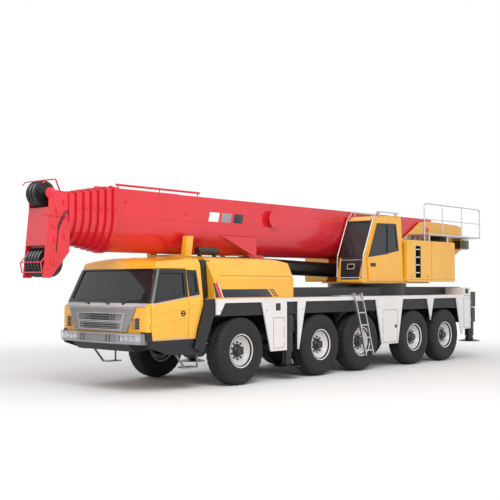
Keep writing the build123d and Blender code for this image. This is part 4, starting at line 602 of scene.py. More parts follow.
def bar(path, place, width, lift, low=-0.003, count=24):
    """A straight-sided strip of a width whose middle follows a path on a panel."""
    middle = along_line(path, count)
    slope = np.gradient(middle, axis=0)
    slope /= np.linalg.norm(slope, axis=1, keepdims=True)
    aside = np.stack([-slope[:, 1], slope[:, 0]], axis=-1) * width / 2
    rows = np.stack([middle + aside, middle + 0.6 * aside, middle - 0.6 * aside, middle - aside])
    lifts = (low, lift, lift, low)
    top = np.stack([place(row, tall) for row, tall in zip(rows, lifts)])
    bottom = np.stack([place(row, low - 0.003) for row in rows])
    return shell(top, bottom)


def face_sheet(first, second, place, lift, low=-0.004, across=8, along=20):
    """A closed skin over a bent panel: the ruled sheet between two edges, at a lift and again underneath."""
    rows = strip_rows(along_line(first, along), along_line(second, along), across)
    top = np.stack([place(row, lift) for row in rows])
    bottom = np.stack([place(row, low) for row in rows])
    return shell(top, bottom)


CUP_SECTION = (
    (-0.004, 0.062), (0.008, 0.060), (0.011, 0.052), (0.008, 0.045),
    (-0.001, 0.038), (-0.001, 0.002), (-0.004, 0.002),
)
for side_name, side in SIDES:
    flank = on_cab_side(side)
    door = f"cab_door_{side_name}"
    door_top = ((5.800, 1.80), (5.566, 2.486), (4.797, 2.486), (4.822, 1.925))
    show(
        f"door_window_frame_{side_name}", door, "trim_plastic",
        window_frame(door_top, DOOR_WINDOW, flank, 0.008, lip=0.012, cuts=28),
        "gloss_black",
    )
    quarter_outer = ((4.784, 1.93), (4.778, 2.478), (4.485, 2.470), (4.48, 1.965))
    show(
        f"quarter_window_frame_{side_name}", "carrier", "trim_plastic",
        window_frame(quarter_outer, QUARTER_WINDOW, flank, lip=0.012), "gloss_black",
    )
    show(
        f"door_belt_line_{side_name}", door, "silver_grey",
        bar(((5.80, 1.785), (4.83, 1.91)), flank, 0.024, 0.006),
        "belt_silver",
    )
    show(
        f"cab_belt_line_{side_name}", "carrier", "silver_grey",
        bar(((4.785, 1.917), (4.43, 1.955)), flank, 0.024, 0.006),
        "belt_silver",
    )
    creases = merge(
        bar(((5.80, 1.585), (4.87, 1.70)), flank, 0.045, 0.007),
        bar(((5.80, 1.385), (4.87, 1.515)), flank, 0.05, 0.006),
    )
    show(f"door_creases_{side_name}", door, "yellow_paint", creases)
    show(
        f"cab_creases_{side_name}", "carrier", "yellow_paint",
        bar(((4.83, 1.705), (4.46, 1.755)), flank, 0.045, 0.006),
    )
    rocker = merge(
        bar(((5.835, 1.082), (4.862, 1.082)), flank, 0.02, 0.008),
        bar(((4.84, 1.082), (4.68, 1.082)), flank, 0.02, 0.008),
    )
    show(f"rocker_line_{side_name}", "carrier", "silver_grey", rocker, "belt_silver")
    cup = turned(CUP_SECTION, (4.99, side * 1.40, 1.585), side=side, steps=32)
    grip = block((4.925, side * 1.399, 1.572), (5.055, side * 1.418, 1.60), 0.009)
    show(f"door_handle_{side_name}", door, "trim_plastic", merge(cup, grip), "black_paint")

    heights = np.linspace(1.80, 2.478, 12)
    y_front = np.interp(heights, (1.80, 2.478), (1.250, 1.108))
    edge = np.minimum(np.interp(heights, (1.80, 2.478), (5.801, 5.569)) + 0.002, corner_x(heights) + 0.1195)
    swing = np.arccos((edge - corner_x(heights)) / CAB_BEND)
    angles = [FRONT_TURN + share * (swing - FRONT_TURN) for share in np.linspace(0, 1, 10)]
    layers = []
    for lift in (0.006, -0.004):
        foot = on_cab_front(np.stack([y_front, heights], axis=-1), lift) * (1, side, 1)
        layers.append(np.stack([foot, *on_corner(heights, angles, lift, side)]))
    show(f"windscreen_pillar_{side_name}", "carrier", "trim_plastic", shell(*layers), "gloss_black")

windscreen_outer = ((-1.262, 1.80), (1.262, 1.80), (1.118, 2.495), (-1.118, 2.495))
show(
    "windscreen_frame", "carrier", "trim_plastic",
    window_frame(windscreen_outer, WINDSCREEN, on_cab_front, lip=0.012), "gloss_black",
)
silver_band = face_sheet(
    ((-1.27, 1.722), (1.27, 1.722)), ((-1.262, 1.798), (1.262, 1.798)), on_cab_front, 0.012, across=8,
    along=30,
)
show("belt_band", "carrier", "silver_grey", silver_band, "belt_silver")


def wiper(pivot, tip):
    """Parked wiper: a spindle cap, an arm and a blade that follow the glass."""
    arm = on_cab_front(along_line((pivot, tip), 10), 0.022)
    blade_line = along_line(((tip[0] - 0.20, tip[1]), (tip[0] + 0.24, tip[1] + 0.006)), 14)
    blade = on_cab_front(blade_line, 0.012)
    dome = ((0, 0.03), (0.016, 0.028), (0.024, 0.018), (0.026, 0.002), (0, 0.002))
    cap = turned(dome, on_cab_front(np.array([pivot]), 0.008)[0], axis="x", steps=20)
    return merge(cap, carried(disc(0.008, 8), arm), carried(disc(0.009, 8) * (0.7, 1.2), blade))


wipers = merge(
    wiper((-0.496, 1.779), (-1.0, 1.862)), wiper((0.154, 1.78), (-0.22, 1.864)),
    wiper((0.60, 1.78), (0.86, 1.864)),
)
show("wipers", "carrier", "trim_plastic", wipers, "black_paint")


GRILLE_PROUD = 0.035


def on_grille(outline, lift):
    """A mapping of (y, z) onto the grille's face, which stands proud of the bowed front."""
    return on_cab_front(outline, GRILLE_PROUD + lift)


UPPER_SLOT = ((-0.69, 1.45), (0.69, 1.45), (0.73, 1.585), (-0.73, 1.585))
LOWER_SLOT = ((-0.64, 1.275), (0.64, 1.275), (0.69, 1.405), (-0.69, 1.405))
backing = merge(
    face_sheet(UPPER_SLOT[:2], UPPER_SLOT[:1:-1], on_cab_front, 0.025, low=0.012, across=3, along=24),
    face_sheet(LOWER_SLOT[:2], LOWER_SLOT[:1:-1], on_cab_front, 0.025, low=0.012, across=3, along=24),
)
show("grille_mesh", "carrier", "trim_plastic", backing, "grille_mesh")
chevrons = []
for side in (1, -1):
    for step in range(5):
        outer = 0.66 - 0.075 * step
        path = ((side * outer, 1.458), (side * (outer - 0.045), 1.517), (side * (outer + 0.005), 1.578))
        chevrons.append(bar(path, on_cab_front, 0.028, 0.040, low=0.023, count=10))
for level in (1.492, 1.543):
    chevrons.append(bar(((-0.3, level), (0.3, level)), on_cab_front, 0.016, 0.037, low=0.023, count=16))
show("grille_chevrons", "carrier", "silver_grey", merge(*chevrons))
slats = []
for step in range(3):
    level = 1.298 + 0.041 * step
    slat = ((-0.645 - 0.04 * step, level), (0.645 + 0.02 * step, level))
    slats.append(bar(slat, on_cab_front, 0.022, 0.040, low=0.023))
slats += [
    bar(((side * 0.60, 1.283), (side * 0.66, 1.398)), on_cab_front, 0.03, 0.040, low=0.023, count=6)
    for side in (1, -1)
]
show("grille_slats", "carrier", "silver_grey", merge(*slats))
rims = merge(
    window_frame(
        ((-0.715, 1.435), (0.715, 1.435), (0.76, 1.60), (-0.76, 1.60)), UPPER_SLOT, on_grille, 0.005,
    ),
    window_frame(
        ((-0.665, 1.258), (0.665, 1.258), (0.72, 1.42), (-0.72, 1.42)), LOWER_SLOT, on_grille, 0.005,
    ),
    bar(((-0.83, 1.247), (0.83, 1.247)), on_grille, 0.016, 0.006),
    bar(((-1.05, 1.703), (1.05, 1.703)), on_grille, 0.016, 0.006),
)
show("grille_rims", "carrier", "silver_grey", rims, "belt_silver")

# Headlamps: a bezel, a yellow recess painted dark bronze-brown as painted shade, and a column of four lenses
# 53 mm apart
LAMP_PITCH = 0.053
for side_name, side in SIDES:
    def lamp_face(outline, lift, side=side):
        """Mirrors the front's mapping, so that one outline serves both lamps."""
        points = on_cab_front(outline, lift)
        return points * (1, side, 1)
    bezel_outer = ((0.905, 1.262), (1.172, 1.262), (1.172, 1.515), (0.935, 1.50))
    bezel_inner = ((0.925, 1.278), (1.06, 1.278), (1.06, 1.50), (0.952, 1.488))
    bezel = window_frame(bezel_outer, bezel_inner, lamp_face, 0.014)
    show(f"headlamp_bezel_{side_name}", "carrier", "yellow_paint", bezel)
    # The recess is yellow; its dark bronze colour is painted shade
    recess = face_sheet(bezel_inner[:2], bezel_inner[:1:-1], lamp_face, 0.003, across=4, along=6)
    show(f"headlamp_recess_{side_name}", "carrier", "yellow_paint", recess, "lamp_bronze")
    column = [
        face_sheet(
            ((1.062, 1.285), (1.165, 1.285)), ((1.062, 1.508), (1.165, 1.508)), lamp_face, 0.017, across=4,
            along=6,
        )
    ]
    for row in range(4):
        level = 1.312 + LAMP_PITCH * row
        column.append(bar(((1.058, level), (1.168, level)), lamp_face, 0.016, 0.026, low=0.006, count=6))
    show(f"headlamp_column_{side_name}", "carrier", "trim_plastic", merge(*column), "gloss_black")
    eyes = []
    for row in range(4):
        low = 1.326 + LAMP_PITCH * row
        high = low + 0.024
        eyes.append(
            face_sheet(
                ((1.075, low), (1.152, low)), ((1.075, high), (1.152, high)), lamp_face, 0.020, low=0.008,
                across=4, along=5,
            )
        )
    show(f"headlamp_lenses_{side_name}", "carrier", "glass", merge(*eyes), "lens")
    heights = np.linspace(1.062, 1.232, 4)
    angles = np.linspace(FRONT_TURN, radians(76), 9)
    layers = []
    for lift in (0.012, -0.004):
        foot = on_cab_front(np.stack([np.full(4, 1.20), heights], axis=-1), lift) * (1, side, 1)
        layers.append(np.stack([foot, *on_corner(heights, angles, lift, side)]))
    show(f"bumper_corner_{side_name}", "carrier", "mudguard_black", shell(*layers))


def on_plane(axis, level, side=1):
    """A mapping of an outline and a lift to a flat panel that faces along an axis."""
    def put(outline, lift):
        return facing(outline, axis, level + side * lift)
    return put


def rings_on(place_list, radius, tall, axis, side, sides=6):
    """Bolt heads: the same small turned cap at each place."""
    cap = ((-0.002, radius), (0.7 * tall, radius), (tall, 0.7 * radius), (tall, 0.001), (-0.002, 0.001))
    return merge(*[turned(cap, place, axis=axis, side=side, steps=sides) for place in place_list])


def seam(outline, place, width=0.009, lift=0.0016):
    """A shut line round a door: a thin dark strip along its closed outline."""
    outline = np.asarray(outline, float)
    return window_frame(outline, drawn_in(outline, width), place, lift, seat=-0.002)


# Bumper with its fog lamps and tow slots
BUMPER_X, BUMPER_SWEEP, BUMPER_HALF = 6.09, 0.06, 1.3


def on_bumper(outline, lift):
    """A mapping of (y, z) to the bumper's swept face: x = front - sweep (y / half)^2 + lift."""
    outline = np.asarray(outline, float)
    x = BUMPER_X - BUMPER_SWEEP * (outline[:, 0] / BUMPER_HALF) ** 2 + lift
    return np.stack([x, outline[:, 0], outline[:, 1]], axis=-1)


BOWL_SECTION = (
    (0.0, 0.002), (0.004, 0.03), (0.016, 0.048), (0.02, 0.05),
    (0.02, 0.056), (-0.006, 0.056), (-0.006, 0.002),
)
for side_name, side in SIDES:
    def swept(outline, lift, side=side):
        """The bumper's mapping, mirrored."""
        return on_bumper(outline, lift) * (1, side, 1)
    pan = face_sheet(
        ((0.665, 1.04), (1.265, 1.04)), ((0.665, 1.16), (1.265, 1.16)), swept, -0.030, low=-0.039, along=16,
    )
    show(f"fog_lamp_pan_{side_name}", "carrier", "chrome_rod", pan)
    bowls = [
        turned(BOWL_SECTION, swept(np.array([[y, 1.10]]), -0.03)[0], axis="x", steps=28)
        for y in (0.76, 0.90, 1.04)
    ]
    show(f"fog_lamp_bowls_{side_name}", "carrier", "chrome_rod", merge(*bowls))
    cover = face_sheet(
        ((0.662, 1.037), (1.268, 1.037)), ((0.662, 1.163), (1.268, 1.163)), swept, -0.002, low=-0.006,
        along=20,
    )
    show(f"fog_lamp_lens_{side_name}", "carrier", "glass", cover, "lens")
    trim = window_frame(
        ((0.645, 1.022), (1.285, 1.022), (1.285, 1.18), (0.645, 1.18)),
        ((0.66, 1.036), (1.27, 1.036), (1.27, 1.164), (0.66, 1.164)),
        swept, 0.004,
    )
    show(f"fog_lamp_rim_{side_name}", "carrier", "silver_grey", trim, "belt_silver")
slots = [bar(((y, 1.03), (y, 1.17)), on_bumper, 0.045, 0.002, count=6) for y in (-0.53, -0.43, 0.30, 0.40)]
show("bumper_slots", "carrier", "silver_grey", merge(*slots), "grille_mesh")
lips = merge(
    bar(((-1.28, 1.188), (1.28, 1.188)), on_bumper, 0.016, 0.005),
    bar(((-1.28, 1.004), (1.28, 1.004)), on_bumper, 0.016, 0.005),
)
show("bumper_lips", "carrier", "silver_grey", lips, "belt_silver")

# Ribbed air intake behind the cab
ribs = []
for side in (1, -1):
    for step in range(14):
        z = 1.96 + 0.052 * step
        ribs.append(block((4.05, side * 1.197, z), (4.29, side * 1.216, z + 0.026), 0.006))
show("intake_ribs", "carrier", "black_paint", merge(*ribs))

# Engine hood: stripes, shut lines and louvres
HOOD_SIDE = ((1.87, 1.40), (2.29, 1.40), (2.74, 1.17))
HOOD_TOP, HOOD_CROWN, HOOD_TOP_HALF = 2.81, 0.07, 1.17


def on_hood(side):
    """A mapping of (x, z) to the hood's side, which turns inwards above 2.29."""
    def put(outline, lift):
        outline = np.asarray(outline, float)
        y = belt(outline[:, 1], HOOD_SIDE) + lift
        return np.stack([outline[:, 0], side * y, outline[:, 1]], axis=-1)
    return put


FILM = 0.003
for side_name, side in SIDES:
    place = on_hood(side)
    dark = [
        raised(((4.118, 2.205), (4.085, 2.205), (3.935, 1.895), (4.045, 1.895)), place, -0.001, FILM, 6),
        raised(((3.885, 2.07), (2.40, 2.07), (2.21, 1.895), (3.80, 1.895)), place, -0.001, FILM, 8),
    ]
    for column in range(2):
        for row in range(3):
            x = 2.335 - 0.085 * column - 0.066 * row
            z = 2.07 - 0.06 * row
            check = ((x, z), (x - 0.05, z), (x - 0.11, z - 0.05), (x - 0.06, z - 0.05))
            dark.append(raised(check, place, -0.001, FILM, 2))
    show(f"hood_band_{side_name}", "carrier", "black_paint", merge(*dark), "stripe_navy")
    red = raised(((4.075, 2.205), (3.995, 2.205), (3.845, 1.895), (3.925, 1.895)), place, -0.001, FILM, 6)
    show(f"hood_slash_{side_name}", "carrier", "red_paint", red, "stripe_red")
    white = raised(((3.985, 2.205), (3.965, 2.205), (3.815, 1.895), (3.835, 1.895)), place, -0.001, FILM, 6)
    show(f"hood_line_{side_name}", "carrier", "white_paint", white, "stripe_white")
    show(
        f"hood_seams_{side_name}", "carrier", "black_paint",
        bar(((3.86, 2.36), (1.53, 2.36)), place, 0.012, 0.002),
    )
# Louvres across the hood's crowned top
for side_name, side in SIDES:
    across = np.linspace(0.35, 0.85, 6)
    crest = HOOD_TOP - HOOD_CROWN * (across / HOOD_TOP_HALF) ** 2
    louvres = [
        carried(disc(0.011, 8) * (1.0, 0.6), np.stack([np.full(6, x), side * across, crest], axis=-1))
        for x in np.linspace(2.20, 2.90, 15)
    ]
    show(f"hood_louvres_{side_name}", "carrier", "black_paint", merge(*louvres))

# Skirts: shut lines of two doors, their latches, hinges and bolts
SKIRT_HALF = 1.50
for side_name, side in SIDES:
    wall = on_plane("y", side * SKIRT_HALF, side)
    # The front beam leaves the skirt ahead of this door on the right and behind it on the left
    aft = 0.0 if side > 0 else 0.475
    doors = merge(
        seam(((2.30 - aft, 0.74), (1.93 - aft, 0.74), (1.93 - aft, 1.43), (2.30 - aft, 1.43)), wall),
        seam(((-2.04, 0.66), (-2.72, 0.66), (-2.72, 1.51), (-2.04, 1.51)), wall),
    )
    show(f"skirt_seams_{side_name}", "carrier", "black_paint", doors)
    hand_hole = ((2.215 - aft, 1.585), (2.055 - aft, 1.585), (2.055 - aft, 1.75), (2.215 - aft, 1.75))
    latches = merge(
        raised(rounded(hand_hole, 0.015), wall, -0.002, 0.004),
        raised(
            rounded(((-2.61, 1.03), (-2.685, 1.03), (-2.685, 1.11), (-2.61, 1.11)), 0.01),
            wall, -0.002, 0.012,
        ),
    )
    show(f"skirt_latches_{side_name}", "carrier", "black_paint", latches)
    hinges = [
        block((x, side * 1.497, z), (x + 0.035, side * 1.511, z + 0.09), 0.005)
        for x, z in ((1.905 - aft, 0.86), (1.905 - aft, 1.24), (-2.06, 0.80), (-2.06, 1.32))
    ]
    show(f"skirt_hinges_{side_name}", "carrier", "white_paint", merge(*hinges))
    bolts = [(x, side * SKIRT_HALF, 1.60) for x in (2.52, 1.28, -1.86, -3.12, -5.95)]
    bolts += [(-4.41, side * SKIRT_HALF, 1.25), (4.0, side * SKIRT_HALF, 1.62)]
    show(f"skirt_bolts_{side_name}", "carrier", "chassis_grey", rings_on(bolts, 0.014, 0.008, "y", side))

# Boom base: three slanted marks on each flank, the fold line, welds and lugs
BOOM_HALF = 0.525
MARK_LEAN = 0.05
MARK_WIDTH = 0.31
for side_name, side in SIDES:
    flat = on_plane("y", side * BOOM_HALF, side)
    stripes = ((3.39, "stripe_white"), (2.99, "stripe_grey"), (2.59, "stripe_navy"))
    for number, (x, film) in enumerate(stripes, start=1):
        top = x - MARK_LEAN
        mark = ((top, 3.79), (top - MARK_WIDTH, 3.79), (x - MARK_WIDTH, 3.58), (x, 3.58))
        shape = raised(mark, flat, -0.001, FILM, 1)
        show(f"boom_stripe_{number}_{side_name}", "boom_base", "red_paint", shape, film)
    knuckle = bar(((5.98, 3.552), (-5.9, 3.552)), flat, 0.014, 0.006, count=40)
    welds = [bar(((x, 3.56), (x, 4.10)), flat, 0.02, 0.005, count=6) for x in (1.08, 1.24, -1.9, -5.2)]
    show(f"boom_weld_lines_{side_name}", "boom_base", "red_paint", merge(knuckle, *welds))
    marks = [
        block((x, side * 0.523, z), (x + 0.05, side * 0.545, z + 0.05), 0.008)
        for x, z in ((5.74, 3.83), (4.05, 3.68), (-0.6, 3.83), (-3.0, 3.68))
    ]
    show(f"boom_lugs_{side_name}", "boom_base", "red_paint", merge(*marks))

# Collars of the six outer sections, each 160 mm ahead of the last and 30 mm smaller: pads, lugs and bolts
COLLAR_X = 6.105
COLLAR_HALF = 0.553
COLLAR_TOP = 4.138
COLLAR_STEP = (0.16, 0.03)
for section in range(1, 7):
    body = "boom_base" if section == 1 else f"boom_section_{section}"
    mouth = COLLAR_X + COLLAR_STEP[0] * (section - 1)
    half = COLLAR_HALF - COLLAR_STEP[1] * (section - 1)
    top = COLLAR_TOP - COLLAR_STEP[1] * (section - 1)
    fittings = []
    for side in (1, -1):
        pad_low = (mouth - 0.10, side * (half - 0.23), top - 0.004)
        pad_high = (mouth - 0.03, side * (half - 0.16), top + 0.04)
        lug_low = (mouth - 0.09, side * (half - 0.004), 3.66)
        lug_high = (mouth - 0.02, side * (half + 0.018), 3.71)
        flank_bolts = [(mouth - 0.055, side * half, z) for z in (3.62, 3.76, 3.88, 4.0)]
        fittings.append(block(pad_low, pad_high, 0.008))
        fittings.append(block(lug_low, lug_high, 0.006))
        fittings.append(rings_on(flank_bolts, 0.013, 0.01, "y", side))
    top_bolts = [(mouth - 0.055, y, top) for y in np.linspace(-half + 0.1, half - 0.1, 6)]
    fittings.append(rings_on(top_bolts, 0.014, 0.012, "z", 1))
    show(f"collar_fittings_{section}", body, "red_paint", merge(*fittings))

# Boom head: rope guards, sheave pins, pendant rod, hoses and lugs
HEAD_HALF = 0.34
guards = []
for side in (1, -1):
    y = side * 0.335
    high_arm = along_line(((7.26, y, 3.97), (7.37, y, 4.205), (7.60, y, 4.168), (7.66, y, 4.10)), 16)
    low_arm = along_line(((7.46, y, 2.84), (7.695, y, 2.60), (7.66, y, 2.40)), 12)
    for arm in (high_arm, low_arm):
        guards.append(carried(disc(0.010, 8) * (1.0, 2.2), arm, up=(0, 1, 0)))
for x, z in ((7.37, 4.205), (7.60, 4.168), (7.695, 2.60), (7.655, 2.41)):
    guards.append(carried(disc(0.012, 8), along_line(((x, -0.335, z), (x, 0.335, z)), 4)))
show("rope_guards", "boom_section_7", "red_paint", merge(*guards))
pins = []
for side in (1, -1):
    for x, z, r in ((7.475, 3.93, 0.075), (7.395, 2.60, 0.085), (7.40, 3.30, 0.06)):
        cap = (
            (-0.004, r), (0.014, r), (0.02, 0.8 * r), (0.02, 0.45 * r), (0.034, 0.4 * r), (0.034, 0.001),
            (-0.004, 0.001),
        )
        pins.append(turned(cap, (x, side * HEAD_HALF, z), side=side, steps=28))
        bolts = [
            (x + 0.6 * r * sin(a), side * (HEAD_HALF + 0.02), z + 0.6 * r * cos(a))
            for a in (0.5, 2.6, 4.7)
        ]
        pins.append(rings_on(bolts, 0.009, 0.01, "y", side))
show("sheave_pins", "boom_section_7", "red_paint", merge(*pins))
pendant = merge(
    carried(disc(0.011, 8), along_line(((7.05, 0.352, 3.50), (7.665, 0.352, 3.50)), 6)),
    turned(
        ((-0.008, 0.035), (0.008, 0.035), (0.008, 0.017), (-0.008, 0.017)), (7.688, 0.352, 3.50), steps=20,
    ),
    block((7.10, 0.338, 3.47), (7.16, 0.372, 3.53), 0.006),
    block((7.30, 0.338, 3.475), (7.35, 0.372, 3.525), 0.006),
)
show("pendant_rod", "boom_section_7", "red_paint", pendant)
hoses = []
for step in range(3):
    y, drop = HEAD_HALF + 0.007, 0.05 * step
    route = [
        (7.02, y, 3.62 - 0.6 * drop), (7.16, y, 3.60 - drop), (7.30, y, 3.34 - drop),
        (7.34, y, 2.80 + drop),
    ]
    hoses.append(carried(disc(0.007, 6), bent(route, 0.06)))
show("head_hoses", "boom_section_7", "trim_plastic", merge(*hoses))
lugs = [
    block((x, side * 0.338, z), (x + 0.05, side * 0.362, z + 0.11), 0.008)
    for side in (1, -1)
    for x, z in ((7.31, 3.56), (7.14, 3.72), (7.36, 2.98), (7.12, 3.05))
]
show("head_lugs", "boom_section_7", "red_paint", merge(*lugs))

# Rope on the winch drum: crowns at radius + 10 mm |sin|, one for each turn
DRUM = (-6.98, 0.0, 3.08)
DRUM_HALF = 0.47
ROPE_TURN = 0.044
along = np.linspace(-DRUM_HALF, DRUM_HALF, 257)
crown = 0.272 + 0.010 * np.abs(np.sin(pi * (along + DRUM_HALF) / ROPE_TURN))
wound = np.concatenate([np.stack([along, crown], axis=-1), [(DRUM_HALF, 0.20), (-DRUM_HALF, 0.20)]])
show("hoist_rope", "winch_drum", "chrome_rod", turned(wound, DRUM, steps=64), "steel_rope", smooth=60)


# Operator's cab
DOOR_WALL = on_plane("y", 1.40, 1)
CAB_WALL = on_plane("y", 1.36, 1)
OP_DOOR_WINDOW = ((-1.575, 2.916), (-1.955, 3.73), (-2.435, 3.74), (-2.43, 3.006))
OP_SIDE_WINDOW = ((-2.53, 3.021), (-2.53, 3.745), (-2.855, 3.743), (-2.965, 3.113))
door_surround = ((-1.538, 2.872), (-1.937, 3.766), (-2.468, 3.776), (-2.468, 2.975))
glazing = window_frame(door_surround, OP_DOOR_WINDOW, DOOR_WALL, lip=0.010)
show("upper_door_window_frame", "upper_cab_door", "trim_plastic", glazing, "gloss_black")
# 3 mm proud at most, because the sliding door passes 6 mm from the wall
side_surround = ((-2.49, 2.985), (-2.49, 3.79), (-2.90, 3.788), (-3.03, 3.075))
glazing = window_frame(side_surround, OP_SIDE_WINDOW, CAB_WALL, 0.003, lip=0.010)
show("upper_side_window_frame", "superstructure", "trim_plastic", glazing, "gloss_black")
inner_surround = ((-1.50, 2.91), (-1.82, 3.66), (-2.94, 3.75), (-2.94, 2.91))
inner_window = ((-1.56, 2.95), (-1.85, 3.61), (-2.90, 3.71), (-2.90, 2.95))
glazing = window_frame(inner_surround, inner_window, on_plane("y", 0.61, -1), lip=0.010)
show("upper_inner_window_frame", "superstructure", "trim_plastic", glazing, "gloss_black")

OP_NOSE = ((2.24, -1.25), (2.50, -1.30), (2.866, -1.39), (3.85, -1.78), (3.95, -1.90))


def on_screen(outline, lift):
    """A mapping of (y, z) to the operator's sloping screen and the nose panel below it."""
    outline = np.asarray(outline, float)
    return np.stack([belt(outline[:, 1], OP_NOSE) + lift, outline[:, 0], outline[:, 1]], axis=-1)


screen_surround = ((0.618, 2.868), (1.352, 2.868), (1.352, 3.835), (0.618, 3.835))
screen = ((0.655, 2.891), (1.315, 2.891), (1.315, 3.805), (0.655, 3.805))
glazing = window_frame(screen_surround, screen, on_screen, 0.008, lip=0.010)
show("upper_screen_frame", "superstructure", "trim_plastic", glazing, "gloss_black")
nose = face_sheet(
    ((0.73, 2.30), (1.30, 2.30)), ((0.66, 2.862), (1.335, 2.862)), on_screen, 0.008, low=-0.004, across=16,
    along=14,
)
show("upper_nose_panel", "superstructure", "trim_plastic", nose)
hatch_edge = ((0.90, 2.565), (1.12, 2.565), (1.12, 2.70), (0.90, 2.70))
hatch = window_frame(hatch_edge, drawn_in(hatch_edge, 0.010), on_screen, 0.014)
low_line = bar(((0.72, 2.345), (1.31, 2.345)), on_screen, 0.02, 0.014)
high_line = bar(((0.66, 2.80), (1.34, 2.80)), on_screen, 0.014, 0.013)
show("upper_nose_lines", "superstructure", "white_paint", merge(hatch, low_line, high_line), "stripe_white")
lid = face_sheet(
    ((0.91, 2.575), (1.11, 2.575)), ((0.91, 2.69), (1.11, 2.69)), on_screen, 0.011, 0.004, 4, 5,
)
show("upper_nose_hatch", "superstructure", "trim_plastic", lid, "gloss_black")
blade = carried(disc(0.009, 8), on_screen(along_line(((1.05, 2.91), (0.78, 3.42)), 12), 0.02))
arm = carried(disc(0.007, 8), on_screen(along_line(((0.98, 2.86), (0.93, 3.14)), 8), 0.032))
show("upper_wiper", "superstructure", "trim_plastic", merge(blade, arm), "black_paint")

creases = merge(
    bar(((-1.90, 2.60), (-2.44, 2.775)), DOOR_WALL, 0.035, 0.006, count=8),
    bar(((-1.62, 2.80), (-2.44, 2.93)), DOOR_WALL, 0.025, 0.005, count=8),
)
show("upper_door_creases", "upper_cab_door", "yellow_paint", creases)
creases = merge(
    bar(((-2.52, 2.80), (-3.10, 2.94)), CAB_WALL, 0.035, 0.003, count=8),
    bar(((-2.50, 2.93), (-3.0, 3.0)), CAB_WALL, 0.02, 0.003, count=8),
)
show("upper_cab_creases", "superstructure", "yellow_paint", creases)
latch_outline = rounded(((-1.645, 2.635), (-1.875, 2.635), (-1.875, 2.725), (-1.645, 2.725)), 0.02)
latch = plate(latch_outline, "y", 1.398, 1.412)
show("upper_door_latch", "upper_cab_door", "trim_plastic", latch, "latch_brown")
show(
    "upper_door_grip", "upper_cab_door", "trim_plastic",
    block((-1.67, 1.410, 2.665), (-1.85, 1.422, 2.695), 0.005),
    "black_paint",
)
rear_seam = bar(((-3.235, 2.26), (-3.235, 3.30)), CAB_WALL, 0.01, 0.003, count=4)
show("upper_cab_seam", "superstructure", "black_paint", rear_seam)

# Roof beacon
BEACON_SECTION = (
    (-0.01, 0.05), (0.02, 0.05), (0.025, 0.04), (0.08, 0.036), (0.10, 0.02), (0.104, 0.001), (-0.01, 0.001),
)
beacon = turned(BEACON_SECTION, (-2.25, 1.18, 3.968), axis="z", steps=28)
show("upper_cab_beacon", "superstructure", "glass", beacon, "tail_red")

# Machinery house: shut lines and studs of the panels, the rungs of the step bay, louvres behind
HOUSE_HALF = 1.45
for side_name, side in SIDES:
    wall = on_plane("y", side * HOUSE_HALF, side)
    lines = [
        bar(((-4.565, 2.27), (-4.565, 3.365)), wall, 0.012, 0.002, count=4),
        bar(((-5.82, 2.30), (-3.33, 2.30)), wall, 0.008, 0.002, count=8),
    ]
    if side > 0:
        bay_edge = ((-3.727, 2.35), (-3.982, 2.35), (-3.982, 3.23), (-3.727, 3.23))
        lines.append(window_frame(bay_edge, drawn_in(bay_edge, 0.010), wall, 0.003))
    show(f"house_seams_{side_name}", "superstructure", "black_paint", merge(*lines))
    studs = [(x, side * HOUSE_HALF, 2.385) for x in (-3.47, -3.55, -4.31, -4.39, -5.30)]
    studs += [(x, side * HOUSE_HALF, 3.30) for x in (-3.47, -4.31, -5.30)]
    show(
        f"house_studs_{side_name}", "superstructure", "black_paint",
        rings_on(studs, 0.014, 0.008, "y", side),
    )
rungs = [
    carried(disc(0.0175, 10), along_line(((-3.738, 1.422, 2.489 + rise), (-3.971, 1.422, 2.489 + rise)), 3))
    for rise in (0.0, 0.215, 0.43, 0.645)
]
show("step_rungs", "superstructure", "white_paint", merge(*rungs))
bay_near, bay_far, bay_back, bay_mouth, bay_floor, bay_roof = -3.740, -3.969, 1.233, 1.447, 2.363, 3.217
liner = merge(
    block((bay_near, bay_back - 0.0015, bay_floor), (bay_far, bay_back + 0.0025, bay_roof), 0.0015),
    block((bay_near + 0.0015, bay_back, bay_floor), (bay_near - 0.0015, bay_mouth, bay_roof), 0.001),
    block((bay_far - 0.0015, bay_back, bay_floor), (bay_far + 0.0015, bay_mouth, bay_roof), 0.001),
    block((bay_near, bay_back, bay_roof - 0.0005), (bay_far, bay_mouth, bay_roof + 0.0025), 0.001),
    block((bay_near, bay_back, bay_floor - 0.0025), (bay_far, bay_mouth, bay_floor + 0.0005), 0.001),
)
show("step_bay_liner", "superstructure", "black_paint", liner)
slits = []
for side in (1, -1):
    for y in (0.72, 1.05):
        for z in np.linspace(2.45, 3.15, 12):
            slits.append(block((-5.843, side * y, z), (-5.852, side * (y + 0.22), z + 0.03), 0.004))
show("house_rear_louvres", "superstructure", "black_paint", merge(*slits))

# Hoses and pipes between the house and the platform; the slanted frame suits runs along any axis
SLANT = (0.6, 0.5, 0.62)
hoses = []
for x, y in ((-4.35, 0.95), (-4.50, 1.02), (-4.66, 1.10), (-5.30, 0.92), (-5.46, 1.0)):
    route = [(x, y, 3.36), (x - 0.02, y, 3.50), (x - 0.24, y - 0.10, 3.53), (x - 0.34, 0.603, 3.53)]
    hoses.append(carried(disc(0.022, 10), bent(route, 0.06), up=SLANT))
show("house_hoses", "superstructure", "trim_plastic", merge(*hoses))
pipes = []
for step in range(3):
    x, y, z = -4.05 - 0.12 * step, 0.80 - 0.03 * step, 3.46 + 0.03 * step
    route = [(x, 0.80, 3.37), (x, 0.80, z), (-5.6, y, z), (-5.6, y, 3.375)]
    pipes.append(carried(disc(0.014, 10), bent(route, 0.06), up=SLANT))
show("house_pipes", "superstructure", "galvanised", merge(*pipes))

